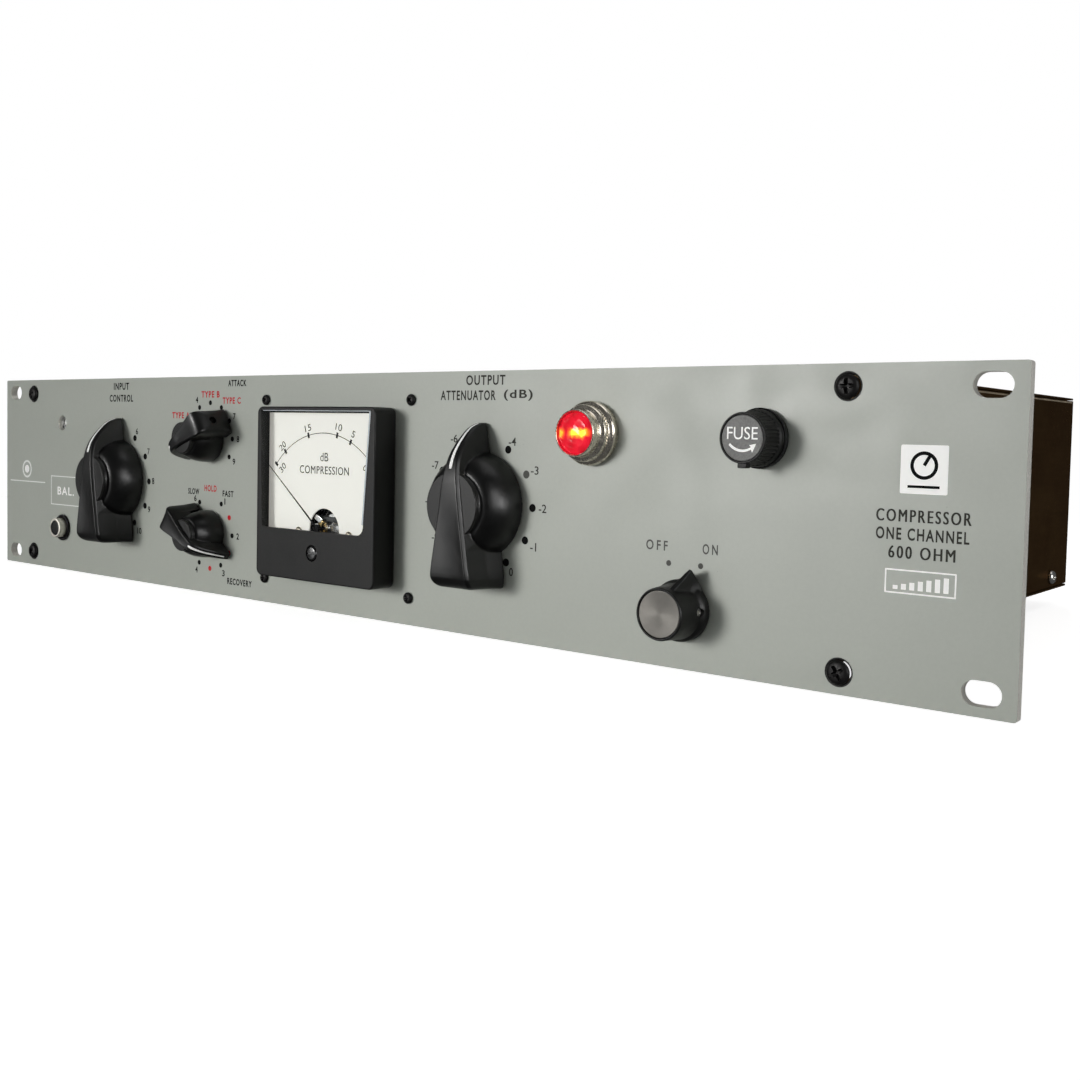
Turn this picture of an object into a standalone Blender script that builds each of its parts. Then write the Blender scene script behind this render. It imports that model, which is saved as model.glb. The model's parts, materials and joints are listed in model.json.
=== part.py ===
"""Rack compressor, two rack units high: front panel with its controls and meter, folded chassis,
covers, rear connectors and the main parts inside, each as its own closed solid.

World frame: metres, +X to the right seen from the front, +Y to the rear, +Z up. The origin is on
the ground in the middle of the footprint. Three empties carry the parts:
  "front"  sits in the middle of the panel's front face; its +X is right, +Y is up, +Z comes out
           of the panel towards the user. Everything mounted in the panel hangs on it.
  "middle" has the same place but keeps the world's directions. Chassis and inner parts hang on it.
  "back"   sits on the rear wall and is seen from behind. The connectors hang on it.
Sizes below are in millimetres and are turned into metres by mm().
"""

import math

import bmesh
import bpy
from mathutils import Matrix

GAP = 0.3  # clearance between a piece and its neighbour

# Front panel: nineteen inches wide, two rack units high
PANEL_W = 482.6
PANEL_H = 88.1
PANEL_T = 3.2
SLOT_X = 232.55
SLOT_Y = 38.1
SLOT_L = 10.0
SLOT_W = 6.5
EAR_X = 224.5  # inner edge of the flat ear that bears on the rack rail

# Chassis behind the panel
CHASSIS_LEFT = -206.0
CHASSIS_RIGHT = 185.0
CHASSIS_LOW = -36.5
CHASSIS_HIGH = 42.8
CHASSIS_REAR = 259.5
SHEET = 1.2
FLANGE = 17.0
FLANGE_LOW = -42.8  # the flanges reach below the side walls to take the lower panel screws
REAR_LIP = 9.0
COVER_T = 0.8
FOLD_R = 3.5

# Overall reach in front of and behind the panel's front face, which centres the footprint
KNOB_REACH = 16.7
REAR_REACH = 264.1

PANEL_SCREWS = ((-216.0, 37.5), (-216.0, -37.5), (195.0, 38.0), (195.0, -38.0))
METER = (-4.0, 0.0)
METER_SCREW_DX = 39.1
METER_SCREW_Y = 34.5
METER_SIDE = 63.5
METER_PROUD = 10.5
METER_BARREL_R = 29.3
DIAL_FRONT = 6.0
PIVOT = (-4.0, -12.3)
NEEDLE_ANGLE = 141.0
NEEDLE_R = 35.2
ZERO_SCREW = (-4.3, -21.3)

INPUT = (-142.8, -0.3)
OUTPUT = (68.2, 0.0)
ATTACK = (-79.0, 19.0)
RECOVERY = (-78.5, -19.7)
POWER = (146.4, -26.5)
LAMP = (112.5, 24.2)
FUSE = (170.2, 23.8)
TRIMMER = (-191.0, 24.0)
BUTTON = (-190.0, -24.5)

INPUT_ANGLE = 90.0
OUTPUT_ANGLE = 90.0
ATTACK_ANGLE = 210.0
RECOVERY_ANGLE = -32.0
POWER_ANGLE = 67.5

SHAFT_R = 3.0
SHAFT_BORE_R = 3.35

COVER_SCREW_Y = (42.0, 231.6)
COVER_SCREW_Z = -32.2

# Screws: head radius, head height, shank radius, length behind the sheet
PANEL_SCREW = (3.65, 2.2, 2.0, 9.0)
METER_SCREW = (2.1, 1.3, 1.25, 7.0)
COVER_SCREW = (2.9, 1.9, 1.8, 6.0)
PANEL_SCREW_HOLE_R = 2.45
METER_SCREW_HOLE_R = 1.65
COVER_SCREW_HOLE_R = 2.2

# Slots in the top cover: two rows of long vents
VENT_ROWS_Y = (110.0, 170.0)
VENT_COUNT = 14
VENT_FIRST_X = -140.0
VENT_PITCH = 20.0
VENT_W = 3.2
VENT_L = 40.0

KNOB_LIFT = 0.5  # the knobs' skirts stop short of the panel
THROUGH = 2.0  # how far a cutter stands out of what it cuts

COLOURS = {
    # name: (red, green, blue, roughness, metallic)
    "panel_enamel": (0.42, 0.44, 0.40, 0.45, 0.0),
    "black_screw": (0.03, 0.03, 0.03, 0.40, 0.6),
    "bronze_steel": (0.12, 0.085, 0.045, 0.42, 0.85),
    "black_knob": (0.018, 0.018, 0.019, 0.35, 0.0),
    "power_knob": (0.03, 0.03, 0.032, 0.38, 0.0),
    "steel_shaft": (0.55, 0.55, 0.54, 0.30, 1.0),
    "switch_body": (0.45, 0.40, 0.30, 0.55, 0.3),
    "meter_case": (0.025, 0.025, 0.027, 0.40, 0.0),
    "meter_window": (0.85, 0.88, 0.90, 0.08, 0.0),
    "dial_white": (0.82, 0.81, 0.77, 0.60, 0.0),
    "needle_black": (0.06, 0.06, 0.06, 0.50, 0.2),
    "brass": (0.60, 0.45, 0.20, 0.32, 1.0),
    "nickel": (0.66, 0.64, 0.60, 0.22, 1.0),
    "red_lens": (0.75, 0.02, 0.03, 0.15, 0.0),
    "lamp_glass": (0.90, 0.80, 0.45, 0.10, 0.0),
    "fuse_black": (0.03, 0.03, 0.03, 0.45, 0.0),
    "fuse_glass": (0.80, 0.82, 0.80, 0.10, 0.0),
    "zinc": (0.70, 0.70, 0.69, 0.28, 1.0),
    "transformer": (0.10, 0.10, 0.11, 0.50, 0.4),
    "capacitor": (0.62, 0.63, 0.66, 0.28, 1.0),
    "valve_glass": (0.75, 0.78, 0.80, 0.08, 0.0),
    "board_green": (0.10, 0.20, 0.12, 0.50, 0.0),
    "connector": (0.05, 0.05, 0.05, 0.40, 0.2),
}


def mm(*values):
    """Millimetres to metres, one number or several."""
    metres = tuple(value * 0.001 for value in values)
    return metres[0] if len(metres) == 1 else metres


def clear_scene():
    for old in list(bpy.data.objects):
        bpy.data.objects.remove(old, do_unlink=True)


def collection(name):
    made = bpy.data.collections.new(name)
    bpy.context.scene.collection.children.link(made)
    return made


def material(name):
    if name in bpy.data.materials:
        return bpy.data.materials[name]
    red, green, blue, roughness, metallic = COLOURS[name]
    made = bpy.data.materials.new(name)
    made.use_nodes = True
    shader = made.node_tree.nodes["Principled BSDF"]
    shader.inputs["Base Color"].default_value = (red, green, blue, 1.0)
    shader.inputs["Roughness"].default_value = roughness
    shader.inputs["Metallic"].default_value = metallic
    made.diffuse_color = (red, green, blue, 1.0)
    return made


def link(obj, parent, place=(0.0, 0.0, 0.0), turn=0.0):
    """Hang a part on an empty at a place in millimetres, turned about its own Z in degrees."""
    PARTS.objects.link(obj)
    obj.parent = parent
    obj.location = mm(*place)
    obj.rotation_euler = (0.0, 0.0, math.radians(turn))
    return obj


def finish(obj, material_name, smooth=30.0):
    obj.data.materials.clear()
    obj.data.materials.append(material(material_name))
    obj.data.shade_smooth()
    obj.data.set_sharp_from_angle(angle=math.radians(smooth))
    return obj


def as_cutter(obj, parent=None, place=(0.0, 0.0, 0.0), turn=0.0):
    CUTTERS.objects.link(obj)
    obj.parent = parent
    obj.location = mm(*place)
    obj.rotation_euler = (0.0, 0.0, math.radians(turn))
    obj.hide_render = True
    obj.display_type = "WIRE"
    return obj


def boolean(target, tool, operation):
    step = target.modifiers.new(operation.lower() + "_" + tool.name, "BOOLEAN")
    step.operation = operation
    step.solver = "EXACT"
    step.object = tool
    return target


def cut(target, tool):
    return boolean(target, tool, "DIFFERENCE")


def join(target, tool):
    return boolean(target, tool, "UNION")


def box_mesh(name, boxes):
    """One mesh of axis-aligned boxes, each (x0, x1, y0, y1, z0, z1) in millimetres."""
    bm = bmesh.new()
    for x0, x1, y0, y1, z0, z1 in boxes:
        centre = mm((x0 + x1) / 2, (y0 + y1) / 2, (z0 + z1) / 2)
        size = mm(x1 - x0, y1 - y0, z1 - z0)
        bmesh.ops.create_cube(
            bm, size=1.0, matrix=Matrix.Translation(centre) @ Matrix.Diagonal((*size, 1.0))
        )
    mesh = bpy.data.meshes.new(name)
    bm.to_mesh(mesh)
    bm.free()
    return bpy.data.objects.new(name, mesh)


def rod_mesh(name, rods, sides=16):
    """One mesh of cylinders along Z, each (x, y, radius, z0, z1) in millimetres."""
    bm = bmesh.new()
    for x, y, radius, z0, z1 in rods:
        bmesh.ops.create_cone(
            bm,
            cap_ends=True,
            segments=sides,
            radius1=mm(radius),
            radius2=mm(radius),
            depth=mm(z1 - z0),
            matrix=Matrix.Translation(mm(x, y, (z0 + z1) / 2)),
        )
    mesh = bpy.data.meshes.new(name)
    bm.to_mesh(mesh)
    bm.free()
    return bpy.data.objects.new(name, mesh)


def turned(name, profile, sides=20, ring=False):
    """A profile of (radius, height) points, running down its outer side, turned about Z."""
    mesh = bpy.data.meshes.new(name)
    count = len(profile)
    edges = [(i, i + 1) for i in range(count - 1)]
    if ring:
        edges.append((count - 1, 0))
    mesh.from_pydata([mm(r, 0.0, z) for r, z in profile], edges, [])
    obj = bpy.data.objects.new(name, mesh)
    screw = obj.modifiers.new("turn", "SCREW")
    screw.axis = "Z"
    screw.angle = math.tau
    screw.steps = sides
    screw.render_steps = sides
    screw.use_merge_vertices = True
    screw.merge_threshold = 0.00001
    return obj


def flat_shape(name, outlines, z0, z1):
    """Closed outlines of (x, y) points filled and given a thickness from z0 to z1."""
    curve = bpy.data.curves.new(name + "_outline", "CURVE")
    curve.dimensions = "2D"
    curve.fill_mode = "BOTH"
    curve.extrude = mm((z1 - z0) / 2)
    for outline in outlines:
        spline = curve.splines.new("POLY")
        spline.points.add(len(outline) - 1)
        for point, (x, y) in zip(spline.points, outline):
            point.co = (*mm(x, y, 0.0), 1.0)
        spline.use_cyclic_u = True
    guide = bpy.data.objects.new(name + "_outline", curve)
    CUTTERS.objects.link(guide)
    bpy.context.view_layer.update()
    solid = guide.evaluated_get(bpy.context.evaluated_depsgraph_get())
    mesh = bpy.data.meshes.new_from_object(solid)
    bm = bmesh.new()
    bm.from_mesh(mesh)
    bmesh.ops.remove_doubles(bm, verts=bm.verts, dist=0.00001)
    bmesh.ops.translate(bm, verts=bm.verts, vec=(0.0, 0.0, mm((z0 + z1) / 2)))
    bm.to_mesh(mesh)
    bm.free()
    bpy.data.objects.remove(guide, do_unlink=True)
    return bpy.data.objects.new(name, mesh)


def arc(cx, cy, radius, start, end, steps):
    """Points on an arc from start to end degrees."""
    points = []
    for i in range(steps + 1):
        angle = math.radians(start + (end - start) * i / steps)
        points.append((cx + radius * math.cos(angle), cy + radius * math.sin(angle)))
    return points


def slot_outline(cx, cy, length, width, steps=6):
    reach = (length - width) / 2
    right = arc(cx + reach, cy, width / 2, -90, 90, steps)
    left = arc(cx - reach, cy, width / 2, 90, 270, steps)
    return right + left


def rounded_outline(x0, x1, y0, y1, radius, steps=3):
    corners = (
        (x1 - radius, y1 - radius, 0),
        (x0 + radius, y1 - radius, 90),
        (x0 + radius, y0 + radius, 180),
        (x1 - radius, y0 + radius, 270),
    )
    points = []
    for cx, cy, start in corners:
        points += arc(cx, cy, radius, start, start + 90, steps)
    return points


def bevel_edges(obj, width, segments, chosen):
    """Round the edges of a mesh whose two ends both satisfy chosen(x, y, z) in millimetres."""
    bm = bmesh.new()
    bm.from_mesh(obj.data)
    edges = [e for e in bm.edges if all(chosen(*(v.co * 1000.0)) for v in e.verts)]
    bmesh.ops.bevel(
        bm, geom=edges, offset=mm(width), segments=segments, profile=0.5, affect="EDGES"
    )
    bm.to_mesh(obj.data)
    bm.free()
    return obj


# ---------------------------------------------------------------- front panel


def front_panel():
    """The enamelled plate with its slots and holes, split at the ears so that each ear is flat."""
    plate = box_mesh("front_panel", [(-PANEL_W / 2, PANEL_W / 2, -PANEL_H / 2, PANEL_H / 2, -PANEL_T, 0)])
    bm = bmesh.new()
    bm.from_mesh(plate.data)
    for x in (-EAR_X, EAR_X):
        bmesh.ops.bisect_plane(
            bm,
            geom=bm.verts[:] + bm.edges[:] + bm.faces[:],
            plane_co=(mm(x), 0.0, 0.0),
            plane_no=(1.0, 0.0, 0.0),
        )
    bm.to_mesh(plate.data)
    bm.free()
    link(plate, FRONT)
    slots = []
    for x in (-SLOT_X, SLOT_X):
        for y in (-SLOT_Y, SLOT_Y):
            slots.append(slot_outline(x, y, SLOT_L, SLOT_W))
    cut(plate, as_cutter(flat_shape("slot_cut", slots, -PANEL_T - THROUGH, THROUGH), FRONT))
    small = []
    for x, y in PANEL_SCREWS:
        small.append((x, y, PANEL_SCREW_HOLE_R, -PANEL_T - THROUGH, THROUGH))
    for x, y in meter_screw_places():
        small.append((x, y, METER_SCREW_HOLE_R, -PANEL_T - THROUGH, THROUGH))
    cut(plate, as_cutter(rod_mesh("screw_cut", small, 8), FRONT))
    large = []
    for (x, y), radius in PANEL_HOLES:
        large.append((x, y, radius, -PANEL_T - THROUGH, THROUGH))
    cut(plate, as_cutter(rod_mesh("control_cut", large, 16), FRONT))
    cut(plate, as_cutter(rod_mesh("meter_cut", [(*METER, METER_BARREL_R + 0.7, -6, 2)], 28), FRONT))
    finish(plate, "panel_enamel")


def meter_screw_places():
    places = []
    for x in (-METER_SCREW_DX, METER_SCREW_DX):
        for y in (METER_SCREW_Y, -METER_SCREW_Y):
            places.append((METER[0] - 0.2 + x, y))
    return places


def cross_recess(name, width, reach, z0, z1):
    """The four-armed driver recess of a screw: a cross whose arms narrow towards their ends."""
    root = width / 2
    tip = root * 0.8
    cross = []
    for quarter in range(4):
        c, s = ((1, 0), (0, 1), (-1, 0), (0, -1))[quarter]
        for x, y in ((root, root), (tip, reach), (-tip, reach)):
            cross.append((x * c - y * s, x * s + y * c))
    return flat_shape(name, [cross], z0, z1)


def screw(name, place, head_r, head_h, shank_r, length, material_name, parent=None, turn=20.0):
    """A pan-head machine screw with its head outwards along +Z."""
    profile = [
        (0.0, GAP + head_h),
        (head_r * 0.66, GAP + head_h),
        (head_r * 0.90, GAP + head_h * 0.72),
        (head_r, GAP + head_h * 0.25),
        (head_r, GAP),
        (shank_r, GAP),
        (shank_r, -length),
        (0.0, -length),
    ]
    made = link(turned(name, profile, 12), parent or FRONT, place, turn)
    tool = cross_recess(
        name + "_recess", head_r * 0.31, head_r * 0.57, GAP + head_h * 0.35, head_h + 3
    )
    cut(made, as_cutter(tool, parent or FRONT, place, turn))
    return finish(made, material_name)


def panel_fasteners():
    turns = (12.0, 48.0, 6.0, 35.0)
    for i, (x, y) in enumerate(PANEL_SCREWS):
        screw(f"panel_screw_{i + 1}", (x, y, 0), *PANEL_SCREW, "black_screw", turn=turns[i])
    for i, (x, y) in enumerate(meter_screw_places()):
        name = f"meter_screw_{i + 1}"
        screw(name, (x, y, 0), *METER_SCREW, "black_screw", turn=turns[3 - i])


# ---------------------------------------------------------------- knobs, shafts and switches


def pointer_bar(name, sections):
    """The bar of a chicken-head knob: a loft along +X of (reach, face width, height, base width)."""
    bm = bmesh.new()
    rings = []
    for reach, face, height, base in sections:
        corners = ((base / 2, BAR_FOOT), (face / 2, height), (-face / 2, height), (-base / 2, BAR_FOOT))
        rings.append([bm.verts.new(mm(reach, y, z)) for y, z in corners])
    for near, far in zip(rings, rings[1:]):
        for k in range(4):
            n = (k + 1) % 4
            bm.faces.new((near[k], near[n], far[n], far[k]))
    bm.faces.new(reversed(rings[0]))
    bm.faces.new(rings[-1])
    bmesh.ops.recalc_face_normals(bm, faces=bm.faces)
    mesh = bpy.data.meshes.new(name)
    bm.to_mesh(mesh)
    bm.free()
    return bpy.data.objects.new(name, mesh)


BAR_FOOT = 0.3  # the bar stops just above the skirt's lower edge
LARGE_BAR = (
    (-27.2, 8.0, 13.8, 14.0),
    (-26.2, 13.4, 14.8, 21.4),
    (-23.0, 14.7, 16.2, 21.0),
    (0.0, 8.2, 16.2, 13.0),
    (12.0, 4.6, 15.4, 9.0),
    (17.0, 3.6, 13.6, 7.4),
    (21.0, 2.8, 10.9, 5.8),
    (24.5, 2.2, 6.9, 4.8),
    (27.0, 1.8, 1.5, 3.8),
)
SMALL_BAR = (
    (-14.7, 5.0, 12.6, 8.0),
    (-14.2, 8.0, 13.3, 11.0),
    (-12.6, 9.0, 14.8, 10.8),
    (0.0, 4.6, 15.0, 7.5),
    (7.5, 2.9, 14.2, 5.6),
    (11.0, 2.4, 11.2, 4.6),
    (14.0, 2.0, 6.0, 3.8),
    (16.0, 1.7, 1.4, 3.0),
)
LARGE_DOME = ((17.5, 0.0), (17.1, 3.0), (15.9, 6.0), (13.6, 9.4), (10.6, 12.2), (9.6, 13.4))
LARGE_DISC = (10.6, 15.0)
SMALL_DOME = ((9.6, 0.0), (9.5, 3.2), (8.8, 6.5), (7.5, 9.6), (6.0, 11.6), (5.6, 12.2))
SMALL_DISC = (6.2, 13.6)


def chicken_head(name, place, angle, bar, dome, disc, nut_r, nut_h, grub_z, sides):
    """A moulded knob: domed skirt, round flat top and pointer bar, hollow over the panel nut."""
    disc_r, disc_z = disc
    profile = [(0.0, disc_z), (disc_r, disc_z), (disc_r, dome[-1][1] + 0.5)]
    profile += [point for point in reversed(dome)]
    profile += [(0.0, 0.0)]
    lift = (*place, KNOB_LIFT)
    knob = link(turned(name, profile, sides), FRONT, lift, angle)
    join(knob, as_cutter(pointer_bar(name + "_bar", bar), FRONT, lift, angle))
    bore = rod_mesh(name + "_bore", [(0, 0, SHAFT_BORE_R, nut_h - 1, disc_z - 2.6)], 12)
    cut(knob, as_cutter(bore, FRONT, lift, angle))
    nut_room = rod_mesh(name + "_nut_room", [(0, 0, nut_r, -1, nut_h)], 16)
    cut(knob, as_cutter(nut_room, FRONT, lift, angle))
    grub = as_cutter(rod_mesh(name + "_grub", [(0, 0, 1.6, 0, 6)], 8), FRONT)
    along = math.radians(angle)
    reach = bar[0][0] + 4.5
    grub.location = mm(
        place[0] + reach * math.cos(along), place[1] + reach * math.sin(along), grub_z + KNOB_LIFT
    )
    grub.rotation_euler = (0.0, -math.pi / 2, along)
    cut(knob, grub)
    return finish(knob, "black_knob", 40.0)


def control(name, place, body, nut_r, nut_h, bush_r, shaft_top):
    """A rotary switch with its threaded bushing and panel nut, and the shaft that turns in it."""
    behind = -PANEL_T - GAP
    bush_top = nut_h + 0.8
    depth = body[-1][1]
    profile = [(0.0, depth + 3.0), (SHAFT_BORE_R, depth + 3.0), (SHAFT_BORE_R, bush_top)]
    profile += [(bush_r, bush_top), (bush_r, nut_h), (nut_r, nut_h), (nut_r, GAP), (bush_r, GAP)]
    profile += [(bush_r, behind)]
    profile += [(radius, behind + z) if z == 0.0 else (radius, z) for radius, z in body]
    profile += [(0.0, depth)]
    switch = link(turned(name + "_switch", profile, 12), FRONT, (*place, 0))
    finish(switch, "switch_body")
    shaft = turned(
        name + "_shaft",
        [
            (0.0, shaft_top),
            (SHAFT_R - 0.4, shaft_top),
            (SHAFT_R, shaft_top - 0.4),
            (SHAFT_R, depth + 3.4),
            (0.0, depth + 3.4),
        ],
        12,
    )
    finish(link(shaft, FRONT, (*place, 0)), "steel_shaft")


LARGE_SWITCH = ((17.0, 0.0), (17.0, -7.0), (13.5, -7.0), (13.5, -14.0), (17.0, -14.0), (17.0, -17.0))
LARGE_SWITCH += ((13.5, -17.0), (13.5, -25.0), (17.0, -25.0), (17.0, -28.0))
SMALL_SWITCH = ((13.0, 0.0), (13.0, -8.0), (11.0, -8.0), (11.0, -17.0), (14.0, -17.0), (14.0, -21.0))
POWER_SWITCH = ((9.9, 0.0), (9.9, -24.0))


def controls():
    large = (LARGE_BAR, LARGE_DOME, LARGE_DISC, 9.0, 5.6, 6.0, 22)
    small = (SMALL_BAR, SMALL_DOME, SMALL_DISC, 7.0, 4.6, 6.4, 18)
    chicken_head("input_knob", INPUT, INPUT_ANGLE, *large)
    chicken_head("output_knob", OUTPUT, OUTPUT_ANGLE, *large)
    chicken_head("attack_knob", ATTACK, ATTACK_ANGLE, *small)
    chicken_head("recovery_knob", RECOVERY, RECOVERY_ANGLE, *small)
    control("input", INPUT, LARGE_SWITCH, 7.5, 2.6, 4.9, 12.4)
    control("output", OUTPUT, LARGE_SWITCH, 7.5, 2.6, 4.9, 12.4)
    control("attack", ATTACK, SMALL_SWITCH, 5.8, 2.3, 4.4, 11.0)
    control("recovery", RECOVERY, SMALL_SWITCH, 5.8, 2.3, 4.4, 11.0)
    control("power", POWER, POWER_SWITCH, 5.8, 2.3, 4.4, 9.6)
    power_knob()


def power_knob():
    """A round knob with a flat disc inlaid in its face and a pointed side wing."""
    profile = [
        (0.0, 12.8),
        (6.6, 12.8),
        (6.6, 13.0),
        (7.3, 13.0),
        (7.7, 12.4),
        (8.3, 3.4),
        (9.1, 2.6),
        (9.1, 0.0),
        (0.0, 0.0),
    ]
    place = (*POWER, KNOB_LIFT)
    knob = link(turned("power_knob", profile, 24), FRONT, place, POWER_ANGLE)
    # The wing runs from the face's rim out to a point and down to the skirt.
    wing = pointer_bar(
        "power_wing",
        ((2.0, 9.0, 12.0, 11.0), (6.4, 5.6, 11.6, 8.8), (10.0, 2.6, 8.6, 4.6), (12.6, 0.7, 4.2, 1.2)),
    )
    join(knob, as_cutter(wing, FRONT, place, POWER_ANGLE))
    bore = rod_mesh("power_bore", [(0, 0, SHAFT_BORE_R, 2.0, 10.0)], 12)
    cut(knob, as_cutter(bore, FRONT, place, POWER_ANGLE))
    nut_room = rod_mesh("power_nut_room", [(0, 0, 6.8, -1, 3.4)], 16)
    cut(knob, as_cutter(nut_room, FRONT, place, POWER_ANGLE))
    finish(knob, "power_knob", 40.0)


# ---------------------------------------------------------------- meter


def window_outline(inset):
    """The meter's window: wide at the top, its right side leaning in, round lower corners."""
    right_top = 25.4 - inset
    right_low = 22.6 - inset
    left_top = -33.4 + inset
    left_low = -32.4 + inset
    top = 29.3 - inset
    low = -13.3 + inset
    radius = 3.6 - inset
    points = [(right_top, top), (left_top, top)]
    points += arc(left_low + radius, low + radius, radius, 180, 270, 4)
    points += arc(right_low - radius, low + radius, radius, 270, 360, 4)
    return points


def meter():
    half = METER_SIDE / 2
    cx, cy = METER
    case = flat_shape(
        "meter_case",
        [rounded_outline(cx - half, cx + half, cy - half, cy + half, 2.4)],
        GAP,
        METER_PROUD,
    )
    bm = bmesh.new()
    bm.from_mesh(case.data)
    front = [e for e in bm.edges if all(v.co.z > mm(METER_PROUD - 0.1) for v in e.verts)]
    rim = [e for e in front if e.calc_face_angle(0.0) > 0.5]
    bmesh.ops.bevel(bm, geom=rim, offset=mm(0.9), segments=2, profile=0.5, affect="EDGES")
    bm.to_mesh(case.data)
    bm.free()
    link(case, FRONT)
    barrel = rod_mesh("meter_barrel", [(cx, cy, METER_BARREL_R, -31, 0.8)], 28)
    join(case, as_cutter(barrel, FRONT))
    cavity = box_mesh("meter_cavity", [(cx - 29.9, cx + 29.9, -18.6, 30.2, 1.2, 8.7)])
    cut(case, as_cutter(cavity, FRONT))
    bore = rod_mesh("meter_bore", [(cx, cy, METER_BARREL_R - 1.6, -29, 1.8)], 28)
    cut(case, as_cutter(bore, FRONT))
    opening = flat_shape("window_cut", [window_outline(0.0)], 7.0, METER_PROUD + 2)
    cut(case, as_cutter(opening, FRONT))
    screw_hole = rod_mesh("zero_cut", [(*ZERO_SCREW, 3.4, 7.2, 13.0)], 18)
    cut(case, as_cutter(screw_hole, FRONT))
    finish(case, "meter_case")

    glass = flat_shape("meter_glass", [window_outline(GAP)], 9.2, 10.0)
    finish(link(glass, FRONT), "meter_window")

    dial = box_mesh("meter_dial", [(-33.6, 25.6, -15.5, 29.9, DIAL_FRONT - 0.6, DIAL_FRONT)])
    link(dial, FRONT)
    mouth = [(*PIVOT, 8.0, DIAL_FRONT - 2, DIAL_FRONT + 2)]
    cut(dial, as_cutter(rod_mesh("dial_mouth", mouth, 24), FRONT))
    finish(dial, "dial_white")

    # Magnet and moving-coil frame, with the brass bridge that carries the front pivot
    px, py = PIVOT
    core = rod_mesh("meter_movement", [(px, py, 10.5, -26, -1)], 20)
    link(core, FRONT)
    bridge = box_mesh("meter_bridge", [(px - 9.5, px + 9.5, py - 1.6, py + 1.6, 2.2, 4.2)])
    join(core, as_cutter(bridge, FRONT))
    posts = [(px - 8.2, px - 5.8, py - 1.2, py + 1.2, -2, 3), (px + 5.8, px + 8.2, py - 1.2, py + 1.2, -2, 3)]
    join(core, as_cutter(box_mesh("meter_posts", posts), FRONT))
    finish(core, "brass")

    needle = turned("meter_needle", [(0, 8.4), (1.5, 8.4), (1.5, 4.6), (0, 4.6)], 12)
    link(needle, FRONT, (px, py, 0), NEEDLE_ANGLE)
    arm = box_mesh("needle_arm", [(0.0, NEEDLE_R, -0.3, 0.3, 7.5, 8.0)])
    join(needle, as_cutter(arm, FRONT, (px, py, 0), NEEDLE_ANGLE))
    tail = box_mesh("needle_tail", [(-5.5, 0.0, -0.8, 0.8, 7.4, 8.1)])
    join(needle, as_cutter(tail, FRONT, (px, py, 0), NEEDLE_ANGLE))
    finish(needle, "needle_black")

    zero = turned(
        "meter_zero_screw",
        [(0, 11.0), (2.4, 11.0), (3.05, 10.6), (3.05, 8.0), (0, 8.0)],
        18,
    )
    link(zero, FRONT, (*ZERO_SCREW, 0), 4.0)
    slot = box_mesh("zero_slot", [(-4, 4, -0.45, 0.45, 10.1, 13)])
    cut(zero, as_cutter(slot, FRONT, (*ZERO_SCREW, 0), 4.0))
    finish(zero, "meter_case")


# ---------------------------------------------------------------- lamp, fuse and balance fittings


def lamp():
    """Pilot lamp: a nickel bezel in steps, a red lens, and a holder with its bulb behind."""
    bezel = [
        (7.0, 9.9),
        (7.6, 9.9),
        (7.9, 9.4),
        (7.9, 6.0),
        (8.7, 5.8),
        (8.7, 3.6),
        (9.6, 3.1),
        (9.9, 2.4),
        (9.9, GAP),
        (6.6, GAP),
        (6.6, -PANEL_T - 1.4),
        (5.9, -PANEL_T - 1.4),
        (5.9, 5.4),
        (7.0, 5.4),
    ]
    finish(link(turned("lamp_bezel", bezel, 20, ring=True), FRONT, (*LAMP, 0)), "nickel")
    lens = [(0, 10.9), (4.2, 10.8), (6.3, 10.2), (6.65, 9.4), (6.65, 5.9), (0, 5.9)]
    finish(link(turned("lamp_lens", lens, 20), FRONT, (*LAMP, 0)), "red_lens")
    holder = [
        (0.0, -22.0),
        (4.6, -22.0),
        (4.6, -PANEL_T - 1.8),
        (9.0, -PANEL_T - 1.8),
        (9.0, -8.0),
        (6.4, -8.0),
        (6.4, -25.0),
        (0.0, -25.0),
    ]
    finish(link(turned("lamp_holder", holder, 18), FRONT, (*LAMP, 0)), "nickel")
    bulb = [(0, 4.8), (2.0, 4.3), (3.4, 2.4), (3.4, -1.0), (2.6, -4.0), (3.6, -6.0), (3.6, -20), (0, -20)]
    finish(link(turned("lamp_bulb", bulb, 14), FRONT, (*LAMP, 0)), "lamp_glass")


def fuse():
    """Bayonet fuse holder: body in the panel, cartridge, and the ribbed cap that carries it out."""
    holder = [
        (0.0, -31.0),
        (4.6, -31.0),
        (4.6, 1.9),
        (8.0, 1.9),
        (8.3, 1.5),
        (8.3, GAP),
        (6.0, GAP),
        (6.0, -PANEL_T - GAP),
        (9.0, -PANEL_T - GAP),
        (9.0, -6.5),
        (6.0, -6.5),
        (6.0, -34.0),
        (0.0, -34.0),
    ]
    finish(link(turned("fuse_holder", holder, 20), FRONT, (*FUSE, 0)), "fuse_black")
    cap = [
        (0.0, 11.0),
        (5.8, 11.0),
        (5.9, 11.4),
        (6.8, 11.4),
        (7.1, 11.0),
        (7.8, 3.2),
        (8.0, 2.9),
        (8.0, 2.2),
        (4.1, 2.2),
        (4.1, -3.0),
        (0.0, -3.0),
    ]
    made = link(turned("fuse_cap", cap, 24), FRONT, (*FUSE, 0))
    lug = box_mesh("fuse_lug", [(-1.5, 1.5, -8.3, -6.0, 8.4, 11.2)])
    join(made, as_cutter(lug, FRONT, (*FUSE, 0)))
    finish(made, "fuse_black")
    cartridge = [(0, -3.6), (3.2, -3.6), (3.2, -9.0), (2.8, -9.6), (2.8, -22.4), (3.2, -23.0)]
    cartridge += [(3.2, -28.4), (0, -28.4)]
    finish(link(turned("fuse_cartridge", cartridge, 14), FRONT, (*FUSE, 0)), "fuse_glass")


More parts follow.
